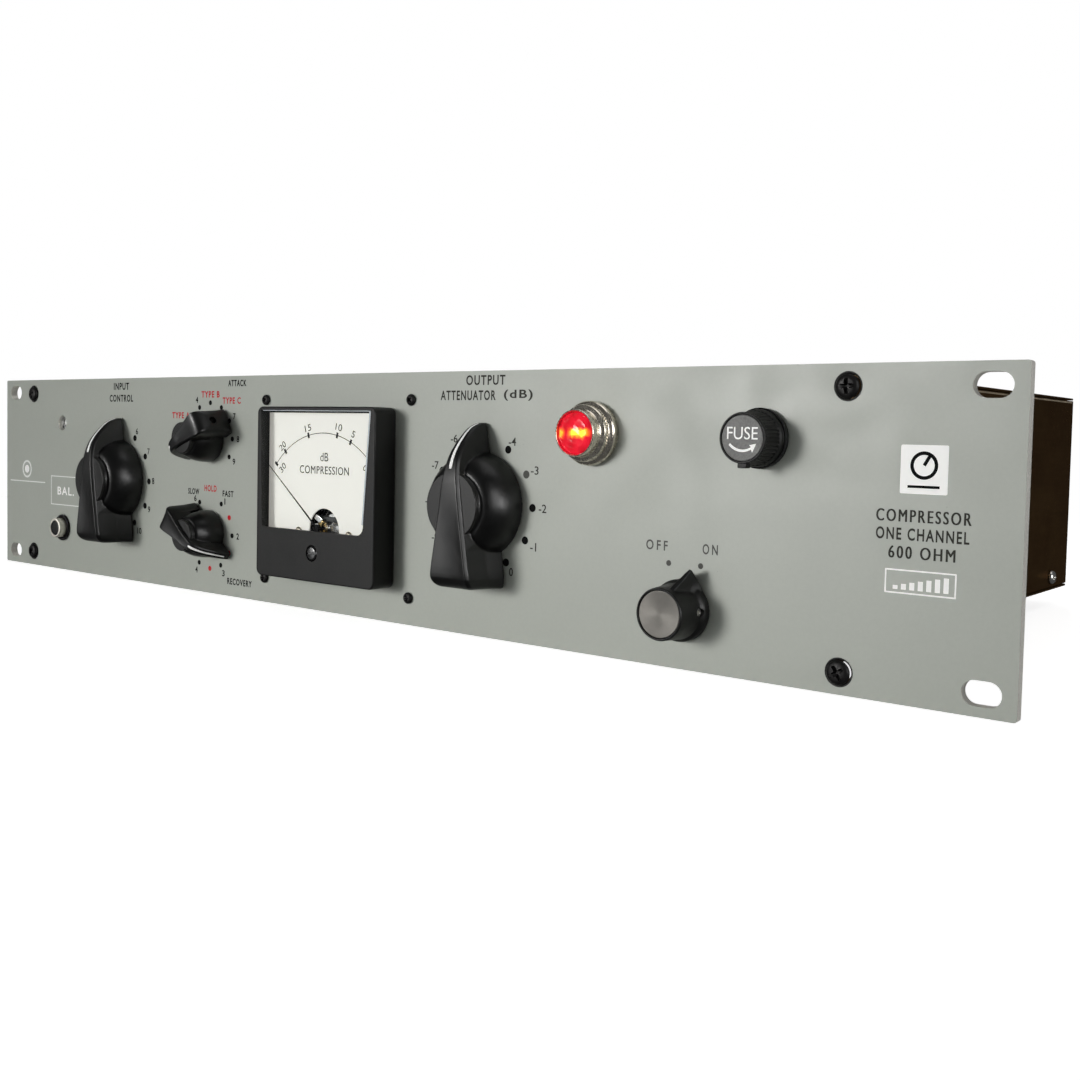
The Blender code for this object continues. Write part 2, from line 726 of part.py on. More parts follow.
def balance():
    """Screwdriver trimmer sunk in the panel and the sprung push-button below it."""
    trimmer = turned("balance_trimmer", [(0, -0.6), (2.6, -0.6), (3.0, -1.0), (3.0, -15.0), (0, -15.0)], 16)
    link(trimmer, FRONT, (*TRIMMER, 0), 70.0)
    slot = box_mesh("trimmer_slot", [(-4, 4, -0.4, 0.4, -1.8, 1.0)])
    cut(trimmer, as_cutter(slot, FRONT, (*TRIMMER, 0), 70.0))
    finish(trimmer, "steel_shaft")
    pot = [(0, -15.4), (3.35, -15.4), (3.35, -3.5), (5.0, -3.5), (5.0, -7.0), (8.5, -7.0)]
    pot += [(8.5, -18), (0, -18)]
    finish(link(turned("balance_pot", pot, 16), FRONT, (*TRIMMER, 0)), "switch_body")
    switch = [(0, -16.5), (4.75, -16.5), (4.75, 1.1), (5.7, 1.1), (6.0, 0.8), (6.0, GAP), (5.2, GAP)]
    switch += [(5.2, -3.5), (7.4, -3.5), (7.4, -6.0), (6.2, -6.0), (6.2, -19), (0, -19)]
    finish(link(turned("balance_switch", switch, 18), FRONT, (*BUTTON, 0)), "connector")
    button = [(0, 4.4), (4.0, 4.4), (4.4, 4.0), (4.4, -13.0), (0, -13.0)]
    finish(link(turned("balance_button", button, 20), FRONT, (*BUTTON, 0)), "black_knob")


# ---------------------------------------------------------------- chassis and covers


def chassis():
    """Folded steel: side walls, rear wall with turned-in lips, and flanges behind the panel."""
    front = PANEL_T + GAP
    inner_rear = CHASSIS_REAR - SHEET
    body = box_mesh(
        "chassis", [(CHASSIS_LEFT, CHASSIS_RIGHT, front, CHASSIS_REAR, CHASSIS_LOW, CHASSIS_HIGH)]
    )
    bevel_edges(body, FOLD_R, 3, lambda x, y, z: y > CHASSIS_REAR - 1)
    link(body, MIDDLE)
    inside = box_mesh(
        "chassis_inside",
        [
            (
                CHASSIS_LEFT + SHEET,
                CHASSIS_RIGHT - SHEET,
                front - 5,
                inner_rear,
                CHASSIS_LOW + SHEET,
                CHASSIS_HIGH - SHEET,
            )
        ],
    )
    cut(body, as_cutter(inside, MIDDLE))
    openings = box_mesh(
        "chassis_openings",
        [
            (
                CHASSIS_LEFT + SHEET + 1,
                CHASSIS_RIGHT - SHEET - 1,
                front - 6,
                CHASSIS_REAR - REAR_LIP,
                CHASSIS_LOW - 5,
                CHASSIS_HIGH + 5,
            )
        ],
    )
    cut(body, as_cutter(openings, MIDDLE))
    flanges = box_mesh(
        "chassis_flanges",
        [
            (CHASSIS_RIGHT - 0.5, CHASSIS_RIGHT + FLANGE, front, front + SHEET, FLANGE_LOW, CHASSIS_HIGH),
            (CHASSIS_LEFT - FLANGE, CHASSIS_LEFT + 0.5, front, front + SHEET, FLANGE_LOW, CHASSIS_HIGH),
        ],
    )
    join(body, as_cutter(flanges, MIDDLE))
    screw_holes = [(x, y, PANEL_SCREW_HOLE_R, -8, 0) for x, y in PANEL_SCREWS]
    cut(body, as_cutter(rod_mesh("flange_holes", screw_holes, 10), FRONT))
    for x, name in ((CHASSIS_RIGHT, "right"), (CHASSIS_LEFT, "left")):
        tool = as_cutter(rod_mesh("cover_holes_" + name, side_rods(-3, 3, COVER_SCREW_HOLE_R), 10), MIDDLE)
        tool.location = mm(x, 0, 0)
        tool.rotation_euler = (0, math.pi / 2, 0)
        cut(body, tool)
    for tool in rear_cutters():
        cut(body, tool)
    finish(body, "bronze_steel")


def side_rods(z0, z1, radius):
    """Cylinders along local Z at the cover screws' places, for a frame turned to face sideways."""
    return [(-COVER_SCREW_Z, y, radius, z0, z1) for y in COVER_SCREW_Y]


def covers():
    """Top cover with its vents and bottom cover, each a sheet with lips inside the side walls."""
    front = PANEL_T + 2 * GAP
    rear = CHASSIS_REAR - 5.5
    left = CHASSIS_LEFT
    right = CHASSIS_RIGHT
    lip_left = CHASSIS_LEFT + SHEET + GAP
    lip_right = CHASSIS_RIGHT - SHEET - GAP
    z0 = CHASSIS_HIGH + GAP
    z1 = z0 + COVER_T
    top = box_mesh("top_cover", [(left - 0.4, right + 0.4, front, rear, z0, z1)])
    link(top, MIDDLE)
    lip_rear = CHASSIS_REAR - REAR_LIP - 2
    lips = [
        (lip_left + 1, lip_left + 1 + COVER_T, front + 6, lip_rear, z0 - 9, z0 + 0.4),
        (lip_right - 1 - COVER_T, lip_right - 1, front + 6, lip_rear, z0 - 9, z0 + 0.4),
    ]
    join(top, as_cutter(box_mesh("top_lips", lips), MIDDLE))
    vents = []
    for row_y in VENT_ROWS_Y:
        for i in range(VENT_COUNT):
            x = VENT_FIRST_X + VENT_PITCH * i
            near, far = row_y - VENT_L / 2, row_y + VENT_L / 2
            vents.append((x - VENT_W / 2, x + VENT_W / 2, near, far, z0 - THROUGH, z1 + THROUGH))
    cut(top, as_cutter(box_mesh("vent_cut", vents), MIDDLE))
    finish(top, "bronze_steel")

    z1 = CHASSIS_LOW - GAP
    z0 = z1 - COVER_T
    bottom = box_mesh("bottom_cover", [(left - 0.4, right + 0.4, front + SHEET, rear, z0, z1)])
    link(bottom, MIDDLE)
    lips = [
        (lip_left + 1, lip_left + 1 + COVER_T, front + 6, lip_rear, z1 - 0.4, z1 + 14),
        (lip_right - 1 - COVER_T, lip_right - 1, front + 6, lip_rear, z1 - 0.4, z1 + 14),
    ]
    join(bottom, as_cutter(box_mesh("bottom_lips", lips), MIDDLE))
    for x, name in ((lip_left + 1.4, "left"), (lip_right - 1.4, "right")):
        tool = as_cutter(rod_mesh("lip_holes_" + name, side_rods(-3, 3, COVER_SCREW_HOLE_R), 10), MIDDLE)
        tool.location = mm(x, 0, 0)
        tool.rotation_euler = (0, math.pi / 2, 0)
        cut(bottom, tool)
    finish(bottom, "bronze_steel")
    cover_screws()


def cover_screws():
    """Four zinc screws through the side walls into the bottom cover's lips."""
    for side, x, facing in (("right", CHASSIS_RIGHT, 1.0), ("left", CHASSIS_LEFT, -1.0)):
        for place, y in zip(("front", "rear"), COVER_SCREW_Y):
            holder = bpy.data.objects.new(f"side_{side}_{place}", None)
            PARTS.objects.link(holder)
            holder.parent = MIDDLE
            holder.location = mm(x, y, COVER_SCREW_Z)
            holder.rotation_euler = (0.0, facing * math.pi / 2, 0.0)
            screw(f"cover_screw_{side}_{place}", (0, 0, 0), *COVER_SCREW, "zinc", holder)


# ---------------------------------------------------------------- rear connectors

INPUT_XLR = (-150.0, 2.0)
OUTPUT_XLR = (-105.0, 2.0)
MAINS = (130.0, 0.0)
XLR_BODY_R = 11.6
XLR_PINS = ((-4.6, 2.3), (4.6, 2.3), (0.0, -4.6))


def rear_cutters():
    """Holes in the rear wall for the connector bodies; local Z of the rear frame points backwards."""
    rods = [(-INPUT_XLR[0], INPUT_XLR[1], XLR_BODY_R + 0.4, -9, 3)]
    rods.append((-OUTPUT_XLR[0], OUTPUT_XLR[1], XLR_BODY_R + 0.4, -9, 3))
    x, y = -MAINS[0], MAINS[1]
    opening = box_mesh("mains_hole", [(x - 14.4, x + 14.4, y - 10.4, y + 10.4, -9, 3)])
    return as_cutter(rod_mesh("xlr_holes", rods, 20), BACK), as_cutter(opening, BACK)


def xlr_socket(name, place, with_pins):
    """A chassis connector: square flange behind the rear wall, round body through it."""
    x, y = -place[0], place[1]
    flange = flat_shape(name, [rounded_outline(x - 13, x + 13, y - 15.5, y + 15.5, 2.5)], GAP, 3.3)
    link(flange, BACK)
    body = rod_mesh(name + "_body", [(x, y, XLR_BODY_R, -20, 1)], 20)
    join(flange, as_cutter(body, BACK))
    if with_pins:
        well = rod_mesh(name + "_well", [(x, y, 9.4, -15, 5)], 20)
        cut(flange, as_cutter(well, BACK))
        pins = [(x + px, y + py, 1.2, -16, -1.5) for px, py in XLR_PINS]
        join(flange, as_cutter(rod_mesh(name + "_pins", pins, 8), BACK))
    else:
        groove = turned(name + "_groove", [(8.6, 5), (9.6, 5), (9.6, -13), (8.6, -13)], 20, ring=True)
        cut(flange, as_cutter(groove, BACK, (x, y, 0)))
        sockets = [(x + px, y - py, 1.3, -10, 5) for px, py in XLR_PINS]
        cut(flange, as_cutter(rod_mesh(name + "_sockets", sockets, 8), BACK))
        pocket = box_mesh(name + "_pocket", [(x - 3.4, x + 3.4, y + 10.9, y + 14.3, 0.8, 5)])
        cut(flange, as_cutter(pocket, BACK))
    return finish(flange, "connector")


def rear_connectors():
    xlr_socket("input_xlr", INPUT_XLR, False)
    xlr_socket("output_xlr", OUTPUT_XLR, True)
    x, y = -INPUT_XLR[0], INPUT_XLR[1]
    latch = box_mesh("input_xlr_latch", [(-2.9, 2.9, -1.3, 1.3, 0.0, 2.2)])
    bevel_edges(latch, 0.4, 1, lambda px, py, pz: pz > 2.1)
    finish(link(latch, BACK, (x, y + 12.6, 2.4)), "zinc")
    x, y = -MAINS[0], MAINS[1]
    outline = rounded_outline(x - 25, x + 25, y - 12, y + 12, 4.0)
    inlet = link(flat_shape("mains_inlet", [outline], GAP, GAP + 2.2), BACK)
    body = box_mesh("inlet_body", [(x - 14, x + 14, y - 10, y + 10, -24, 1)])
    join(inlet, as_cutter(body, BACK))
    well = box_mesh("inlet_well", [(x - 12, x + 12, y - 8, y + 8, -17, 5)])
    cut(inlet, as_cutter(well, BACK))
    blades = []
    for dx, dy in ((-7, -2), (0, 2), (7, -2)):
        blades.append((x + dx - 1, x + dx + 1, y + dy - 2, y + dy + 2, -18, -2))
    join(inlet, as_cutter(box_mesh("inlet_blades", blades), BACK))
    finish(inlet, "connector")


# ---------------------------------------------------------------- inner parts


def transformer(name, place, core, bobbin):
    """A laminated core with its winding showing on both faces, standing on the bottom cover."""
    (cx, cy, cz), (bx, by, bz) = core, bobbin
    made = box_mesh(name, [(-cx / 2, cx / 2, -cy / 2, cy / 2, 0, cz)])
    link(made, MIDDLE, place)
    coil = box_mesh(name + "_coil", [(-bx / 2, bx / 2, -by / 2, by / 2, cz / 2 - bz / 2, cz / 2 + bz / 2)])
    bevel_edges(coil, 4.0, 2, lambda px, py, pz: True)
    join(made, as_cutter(coil, MIDDLE, place))
    return finish(made, "transformer")


BOARD_Z = -33.0
BOARD_CENTRE = (-70.0, 150.0)
VALVE_X = (-45.0, 0.0, 45.0)


def inner_parts():
    floor = CHASSIS_LOW + 2 * GAP
    transformer("power_transformer", (110.0, 170.0, floor), (66, 44, 56), (42, 60, 38))
    transformer("output_transformer", (34.0, 200.0, floor), (44, 34, 40), (28, 46, 26))
    can = [(0, 46), (13.5, 46), (15.0, 44.5), (15.0, 1.0), (17.0, 1.0), (17.0, 0.0), (0, 0)]
    finish(link(turned("input_transformer", can, 20), MIDDLE, (-180.0, 195.0, floor)), "capacitor")
    capacitor = [(0, 58), (14.5, 58), (16.0, 56.5), (16.0, 6.0), (15.2, 5.2), (16.0, 4.4), (16.0, 0), (0, 0)]
    finish(link(turned("filter_capacitor", capacitor, 20), MIDDLE, (40.0, 120.0, floor)), "capacitor")

    bx, by = BOARD_CENTRE
    board = box_mesh("circuit_board", [(bx - 75, bx + 75, by - 45, by + 45, BOARD_Z, BOARD_Z + 1.6)])
    link(board, MIDDLE)
    posts = []
    for x in (bx - 69, bx + 69):
        for y in (by - 39, by + 39):
            posts.append((x, y, 3.0, floor, BOARD_Z + 0.5))
    join(board, as_cutter(rod_mesh("board_posts", posts, 8), MIDDLE))
    sockets = [(bx + x, by + 15, 11.0, BOARD_Z + 0.5, BOARD_Z + 8) for x in VALVE_X]
    join(board, as_cutter(rod_mesh("valve_sockets", sockets, 16), MIDDLE))
    finish(board, "board_green")

    glass = [(0, 49), (0.9, 48), (2.2, 45.5), (8.2, 43.5), (10.4, 40.5), (10.7, 37), (10.7, 1.2)]
    glass += [(9.8, 0), (0, 0)]
    for i, x in enumerate(VALVE_X):
        valve = turned(f"valve_{i + 1}", glass, 18)
        finish(link(valve, MIDDLE, (bx + x, by + 15, BOARD_Z + 8 + GAP)), "valve_glass")


# ---------------------------------------------------------------- build

clear_scene()
PARTS = collection("rack_compressor")
CUTTERS = collection("cutters")

PANEL_HOLES = (
    (INPUT, 5.3),
    (OUTPUT, 5.3),
    (ATTACK, 4.8),
    (RECOVERY, 4.8),
    (POWER, 4.8),
    (LAMP, 7.1),
    (FUSE, 6.5),
    (TRIMMER, 3.5),
    (BUTTON, 5.6),
)


def guide(name, rotation, y):
    """An empty in the middle of the panel's height, y behind the panel's front face."""
    made = bpy.data.objects.new(name, None)
    PARTS.objects.link(made)
    made.location = mm(0.0, (KNOB_REACH - REAR_REACH) / 2 + y, PANEL_H / 2)
    made.rotation_euler = rotation
    return made


FRONT = guide("front", (math.pi / 2, 0.0, 0.0), 0.0)
MIDDLE = guide("middle", (0.0, 0.0, 0.0), 0.0)
# Seen from behind: +X to the left of the world, +Y up, +Z out of the rear wall
BACK = guide("back", (math.pi / 2, 0.0, math.pi), CHASSIS_REAR)

front_panel()
panel_fasteners()
controls()
meter()
lamp()
fuse()
balance()
chassis()
covers()
rear_connectors()
inner_parts()
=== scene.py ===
"""Looks of the rack compressor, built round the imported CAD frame.

Pieces are modelled in millimetres in one of two local frames and then set in the world:
  FRONT  on the panel's front face: +X right, +Y up, +Z out of the panel
  BACK   on the rear wall, seen from behind: +X to the world's left, +Y up, +Z out
"""

import json
import math
from functools import partial

import bmesh
import bpy
from mathutils import Matrix, Vector


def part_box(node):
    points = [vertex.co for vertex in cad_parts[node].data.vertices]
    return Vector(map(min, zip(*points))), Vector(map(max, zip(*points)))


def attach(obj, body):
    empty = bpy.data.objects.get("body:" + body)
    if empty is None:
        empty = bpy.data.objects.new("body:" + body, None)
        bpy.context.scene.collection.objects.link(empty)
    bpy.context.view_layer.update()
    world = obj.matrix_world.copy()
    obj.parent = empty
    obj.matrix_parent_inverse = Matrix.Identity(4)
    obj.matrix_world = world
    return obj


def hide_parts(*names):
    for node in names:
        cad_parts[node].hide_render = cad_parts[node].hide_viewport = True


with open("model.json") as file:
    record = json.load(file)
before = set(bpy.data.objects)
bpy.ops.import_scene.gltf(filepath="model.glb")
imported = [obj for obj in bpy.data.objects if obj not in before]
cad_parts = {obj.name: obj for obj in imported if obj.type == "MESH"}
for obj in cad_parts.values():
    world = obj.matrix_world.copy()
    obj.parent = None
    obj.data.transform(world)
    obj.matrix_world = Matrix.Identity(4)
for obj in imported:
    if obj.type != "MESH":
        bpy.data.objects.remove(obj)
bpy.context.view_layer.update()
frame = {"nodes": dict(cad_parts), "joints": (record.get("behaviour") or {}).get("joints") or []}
NODES = frame["nodes"]

MM = 0.001
WELD = 0.0005  # points of a new skin nearer than this, in millimetres, become one


# ---------------------------------------------------------------- where things are


def spin(degrees, axis="Z"):
    return Matrix.Rotation(math.radians(degrees), 4, axis)


def shift(x, y, z=0.0):
    return Matrix.Translation((x, y, z))


def box_mm(node):
    low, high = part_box(node)
    return low / MM, high / MM


PANEL_LOW, PANEL_HIGH = box_mm("front_panel")
PANEL_W = PANEL_HIGH.x - PANEL_LOW.x
PANEL_H = PANEL_HIGH.z - PANEL_LOW.z
PANEL_T = PANEL_HIGH.y - PANEL_LOW.y
ZERO = Vector(((PANEL_LOW.x + PANEL_HIGH.x) / 2, PANEL_LOW.y, (PANEL_LOW.z + PANEL_HIGH.z) / 2))
CHASSIS_HIGH = box_mm("chassis")[1]
REAR_Y = CHASSIS_HIGH.y - ZERO.y

FRONT = shift(*ZERO) @ spin(90.0, "X")
BACK = shift(ZERO.x, ZERO.y + REAR_Y, ZERO.z) @ spin(180.0) @ spin(90.0, "X")


def panel_place(node):
    """Centre of a node seen from the front, in the FRONT frame."""
    low, high = box_mm(node)
    return ((low.x + high.x) / 2 - ZERO.x, (low.z + high.z) / 2 - ZERO.z)


def joint_place(name):
    found = [j for j in frame["joints"] if j["name"] == name][0]
    x, _, z = found["pos_m"]
    return (x / MM - ZERO.x, z / MM - ZERO.z)


INPUT = joint_place("input_turn")
OUTPUT = joint_place("output_turn")
ATTACK = joint_place("attack_turn")
RECOVERY = joint_place("recovery_turn")
POWER = joint_place("power_turn")
PIVOT = joint_place("needle_swing")
ZERO_SCREW = joint_place("zero_adjust")
FUSE = joint_place("fuse_turn")
TRIMMER = joint_place("trim_turn")
BUTTON = joint_place("balance_press")
LAMP = panel_place("lamp_bezel")
METER = panel_place("meter_case")

# How the pointers stand in the CAD at rest, in degrees from the panel's +X
INPUT_ANGLE = 90.0
OUTPUT_ANGLE = 90.0
ATTACK_ANGLE = 210.0
RECOVERY_ANGLE = -32.0
POWER_ANGLE = 67.5
NEEDLE_ANGLE = 141.0


# ---------------------------------------------------------------- mesh tools, in millimetres


def arc(cx, cy, radius, start, end, steps):
    points = []
    for i in range(steps + 1):
        angle = math.radians(start + (end - start) * i / steps)
        points.append((cx + radius * math.cos(angle), cy + radius * math.sin(angle)))
    return points


def rounded_rectangle(x0, x1, y0, y1, radius, steps=6):
    corners = (
        (x1 - radius, y1 - radius, 0),
        (x0 + radius, y1 - radius, 90),
        (x0 + radius, y0 + radius, 180),
        (x1 - radius, y0 + radius, 270),
    )
    points = []
    for cx, cy, start in corners:
        points += arc(cx, cy, radius, start, start + 90, steps)
    return points


def slot_outline(cx, cy, length, width):
    reach = (length - width) / 2
    right = arc(cx + reach, cy, width / 2, -90, 90, 16)
    return right + arc(cx - reach, cy, width / 2, 90, 270, 16)


def soften(profile, radius=0.25, steps=3):
    """Round the corners of a profile of (r, z) points; a point may carry its own radius."""
    result = [profile[0][:2]]
    for before, here, after in zip(profile, profile[1:], profile[2:]):
        own = here[2] if len(here) > 2 else radius
        a = Vector(before[:2]) - Vector(here[:2])
        b = Vector(after[:2]) - Vector(here[:2])
        reach = min(own, a.length * 0.45, b.length * 0.45)
        if reach < 0.01 or a.angle(b) > math.radians(172):
            result.append(here[:2])
            continue
        start = Vector(here[:2]) + a.normalized() * reach
        end = Vector(here[:2]) + b.normalized() * reach
        for i in range(steps + 1):
            t = i / steps
            spot = start * (1 - t) ** 2 + Vector(here[:2]) * (2 * t * (1 - t)) + end * t**2
            result.append((spot.x, spot.y))
    result.append(profile[-1][:2])
    return result


def lathe(profile, segments=96, ripple=None):
    """Turn a profile of (r, z) points about Z. ripple(angle, r, z) may change the radius."""
    bm = bmesh.new()
    rings = []
    for r, z in profile:
        if r < 1e-6:
            rings.append([bm.verts.new((0.0, 0.0, z))])
            continue
        ring = []
        for i in range(segments):
            angle = math.tau * i / segments
            radius = r + (ripple(angle, r, z) if ripple else 0.0)
            ring.append(bm.verts.new((radius * math.cos(angle), radius * math.sin(angle), z)))
        rings.append(ring)
    for upper, lower in zip(rings, rings[1:]):
        for i in range(segments):
            j = (i + 1) % segments
            if len(upper) == 1 and len(lower) == 1:
                continue
            if len(upper) == 1:
                bm.faces.new((upper[0], lower[i], lower[j]))
            elif len(lower) == 1:
                bm.faces.new((upper[i], lower[0], upper[j]))
            else:
                bm.faces.new((upper[i], lower[i], lower[j], upper[j]))
    if len(rings[0]) > 1 and profile[0] == profile[-1]:
        bmesh.ops.remove_doubles(bm, verts=bm.verts, dist=0.0001)
    bmesh.ops.recalc_face_normals(bm, faces=bm.faces)
    return bm


def turned(profile, segments, radius=0.25, steps=3):
    """Turn a profile about Z with its corners rounded."""
    return lathe(soften(profile, radius, steps), segments)


def turned_at(profile, x, y, segments, radius=0.25):
    return moved(turned(profile, segments, radius), x, y)


def loft(sections):
    """Closed skin through rings of equal length, each a list of (x, y, z)."""
    bm = bmesh.new()
    rings = [[bm.verts.new(point) for point in section] for section in sections]
    count = len(rings[0])
    for near, far in zip(rings, rings[1:]):
        for k in range(count):
            n = (k + 1) % count
            bm.faces.new((near[k], near[n], far[n], far[k]))
    bm.faces.new(list(reversed(rings[0])))
    bm.faces.new(rings[-1])
    bmesh.ops.recalc_face_normals(bm, faces=bm.faces)
    return bm


def boxes(*spans, bevel=0.0):
    """Boxes (x0, x1, y0, y1, z0, z1), each with its edges rounded by bevel."""
    bm = bmesh.new()
    for x0, x1, y0, y1, z0, z1 in spans:
        centre = Vector(((x0 + x1) / 2, (y0 + y1) / 2, (z0 + z1) / 2))
        size = (x1 - x0, y1 - y0, z1 - z0, 1.0)
        made = bmesh.ops.create_cube(bm, size=1.0, matrix=Matrix.Translation(centre) @ Matrix.Diagonal(size))
        if bevel:
            verts = set(made["verts"])
            edges = [e for e in bm.edges if e.verts[0] in verts and e.verts[1] in verts]
            bmesh.ops.bevel(
                bm, geom=edges, offset=bevel, segments=2, profile=0.5, affect="EDGES", clamp_overlap=True
            )
    return bm


def rods(*spans, sides=48):
    """Cylinders along Z, each (x, y, radius, z0, z1)."""
    bm = bmesh.new()
    for x, y, radius, z0, z1 in spans:
        middle = shift(x, y, (z0 + z1) / 2)
        bmesh.ops.create_cone(
            bm, cap_ends=True, segments=sides, radius1=radius, radius2=radius, depth=z1 - z0, matrix=middle
        )
    return bm


def skin_of(curve):
    """A curve's or a text's surface as a bmesh."""
    guide = bpy.data.objects.new("guide", curve)
    bpy.context.scene.collection.objects.link(guide)
    bm = evaluated(guide)
    bmesh.ops.remove_doubles(bm, verts=bm.verts, dist=WELD)
    return bm


def plate(outlines, z0, z1):
    """Closed outlines filled, the inner ones as holes, and thickened from z0 to z1."""
    curve = bpy.data.curves.new("outline", "CURVE")
    curve.dimensions = "2D"
    curve.fill_mode = "BOTH"
    curve.extrude = (z1 - z0) / 2
    for outline in outlines:
        spline = curve.splines.new("POLY")
        spline.points.add(len(outline) - 1)
        for point, (x, y) in zip(spline.points, outline):
            point.co = (x, y, 0.0, 1.0)
        spline.use_cyclic_u = True
    bm = skin_of(curve)
    # Both flat sides become single faces; the edges go in their own order, so that every run is the same
    flat = {e for f in bm.faces if abs(f.normal.z) > 0.99 for e in f.edges}
    bmesh.ops.dissolve_limit(bm, angle_limit=0.01, verts=[], edges=[e for e in bm.edges if e in flat])
    return moved(bm, z=(z0 + z1) / 2)


def tube(points, radius, sides=12):
    """A round wire along points, with flat ends."""
    curve = bpy.data.curves.new("wire", "CURVE")
    curve.dimensions = "3D"
    curve.bevel_depth = radius
    curve.bevel_resolution = max(1, sides // 4)
    curve.use_fill_caps = True
    spline = curve.splines.new("BEZIER")
    spline.bezier_points.add(len(points) - 1)
    for point, place in zip(spline.bezier_points, points):
        point.co = place
        point.handle_left_type = "AUTO"
        point.handle_right_type = "AUTO"
    return skin_of(curve)


def moved(bm, x=0.0, y=0.0, z=0.0, turn=0.0):
    """Turn a bmesh about Z by degrees, then shift it."""
    bm.transform(shift(x, y, z) @ spin(turn))
    return bm


def merged(*parts):
    """Several bmeshes as one."""
    result = bmesh.new()
    for part in parts:
        mesh = bpy.data.meshes.new("part")
        part.to_mesh(mesh)
        part.free()
        result.from_mesh(mesh)
        bpy.data.meshes.remove(mesh)
    return result


def to_object(bm, name):
    mesh = bpy.data.meshes.new(name)
    bm.to_mesh(mesh)
    bm.free()
    made = bpy.data.objects.new(name, mesh)
    bpy.context.scene.collection.objects.link(made)
    return made


def evaluated(obj, *helpers):
    """The object's evaluated mesh as a bmesh; the object and its helpers go."""
    bpy.context.view_layer.update()
    mesh = bpy.data.meshes.new_from_object(obj.evaluated_get(bpy.context.evaluated_depsgraph_get()))
    bm = bmesh.new()
    bm.from_mesh(mesh)
    for old in (obj, *helpers):
        bpy.data.objects.remove(old, do_unlink=True)
    bpy.data.meshes.remove(mesh)
    return bm


def carved(bm, *tools, operation="DIFFERENCE"):
    base = to_object(bm, "base")
    helpers = []
    for tool in tools:
        helper = to_object(tool, "tool")
        helpers.append(helper)
        step = base.modifiers.new("carve", "BOOLEAN")
        step.operation = operation
        step.solver = "EXACT"
        step.object = helper
    return evaluated(base, *helpers)


def rounded(bm, width, segments=2, angle=35.0):
    """Bevel every edge sharper than angle."""
    base = to_object(bm, "base")
    step = base.modifiers.new("round", "BEVEL")
    step.width = width
    step.segments = segments
    step.limit_method = "ANGLE"
    step.angle_limit = math.radians(angle)
    return evaluated(base)


def moulded(bm, voxel, smooth):
    """Fuse overlapping closed shapes into one skin with soft inner and outer corners."""
    base = to_object(bm, "base")
    fuse = base.modifiers.new("fuse", "REMESH")
    fuse.mode = "VOXEL"
    fuse.voxel_size = voxel
    fuse.adaptivity = 0.0
    relax = base.modifiers.new("relax", "SMOOTH")
    relax.factor = 0.5
    relax.iterations = smooth
    thin = base.modifiers.new("thin", "DECIMATE")
    thin.ratio = 0.25
    return evaluated(base)


def piece(name, bm, material, slot, replaces=(), smooth=32.0, where=FRONT, body="frame", even=True):
    """Set a bmesh in the world as a named piece; even keeps its flat faces flat beside rounded edges."""
    mesh = bpy.data.meshes.new(name)
    bm.to_mesh(mesh)
    bm.free()
    mesh.transform(Matrix.Scale(MM, 4) @ where)
    mesh.materials.append(material)
    mesh.shade_smooth()
    mesh.set_sharp_from_angle(angle=math.radians(smooth))
    made = bpy.data.objects.new(name, mesh)
    bpy.context.scene.collection.objects.link(made)
    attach(made, body)
    if replaces:
        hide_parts(*replaces)
    if even:
        level = made.modifiers.new("even", "WEIGHTED_NORMAL")
        level.weight = 90
        level.keep_sharp = True
    return made


# ---------------------------------------------------------------- materials


PANE_SHINE = 0.15  # how much of the window's reflection is kept
LATHE_PITCH = 0.35


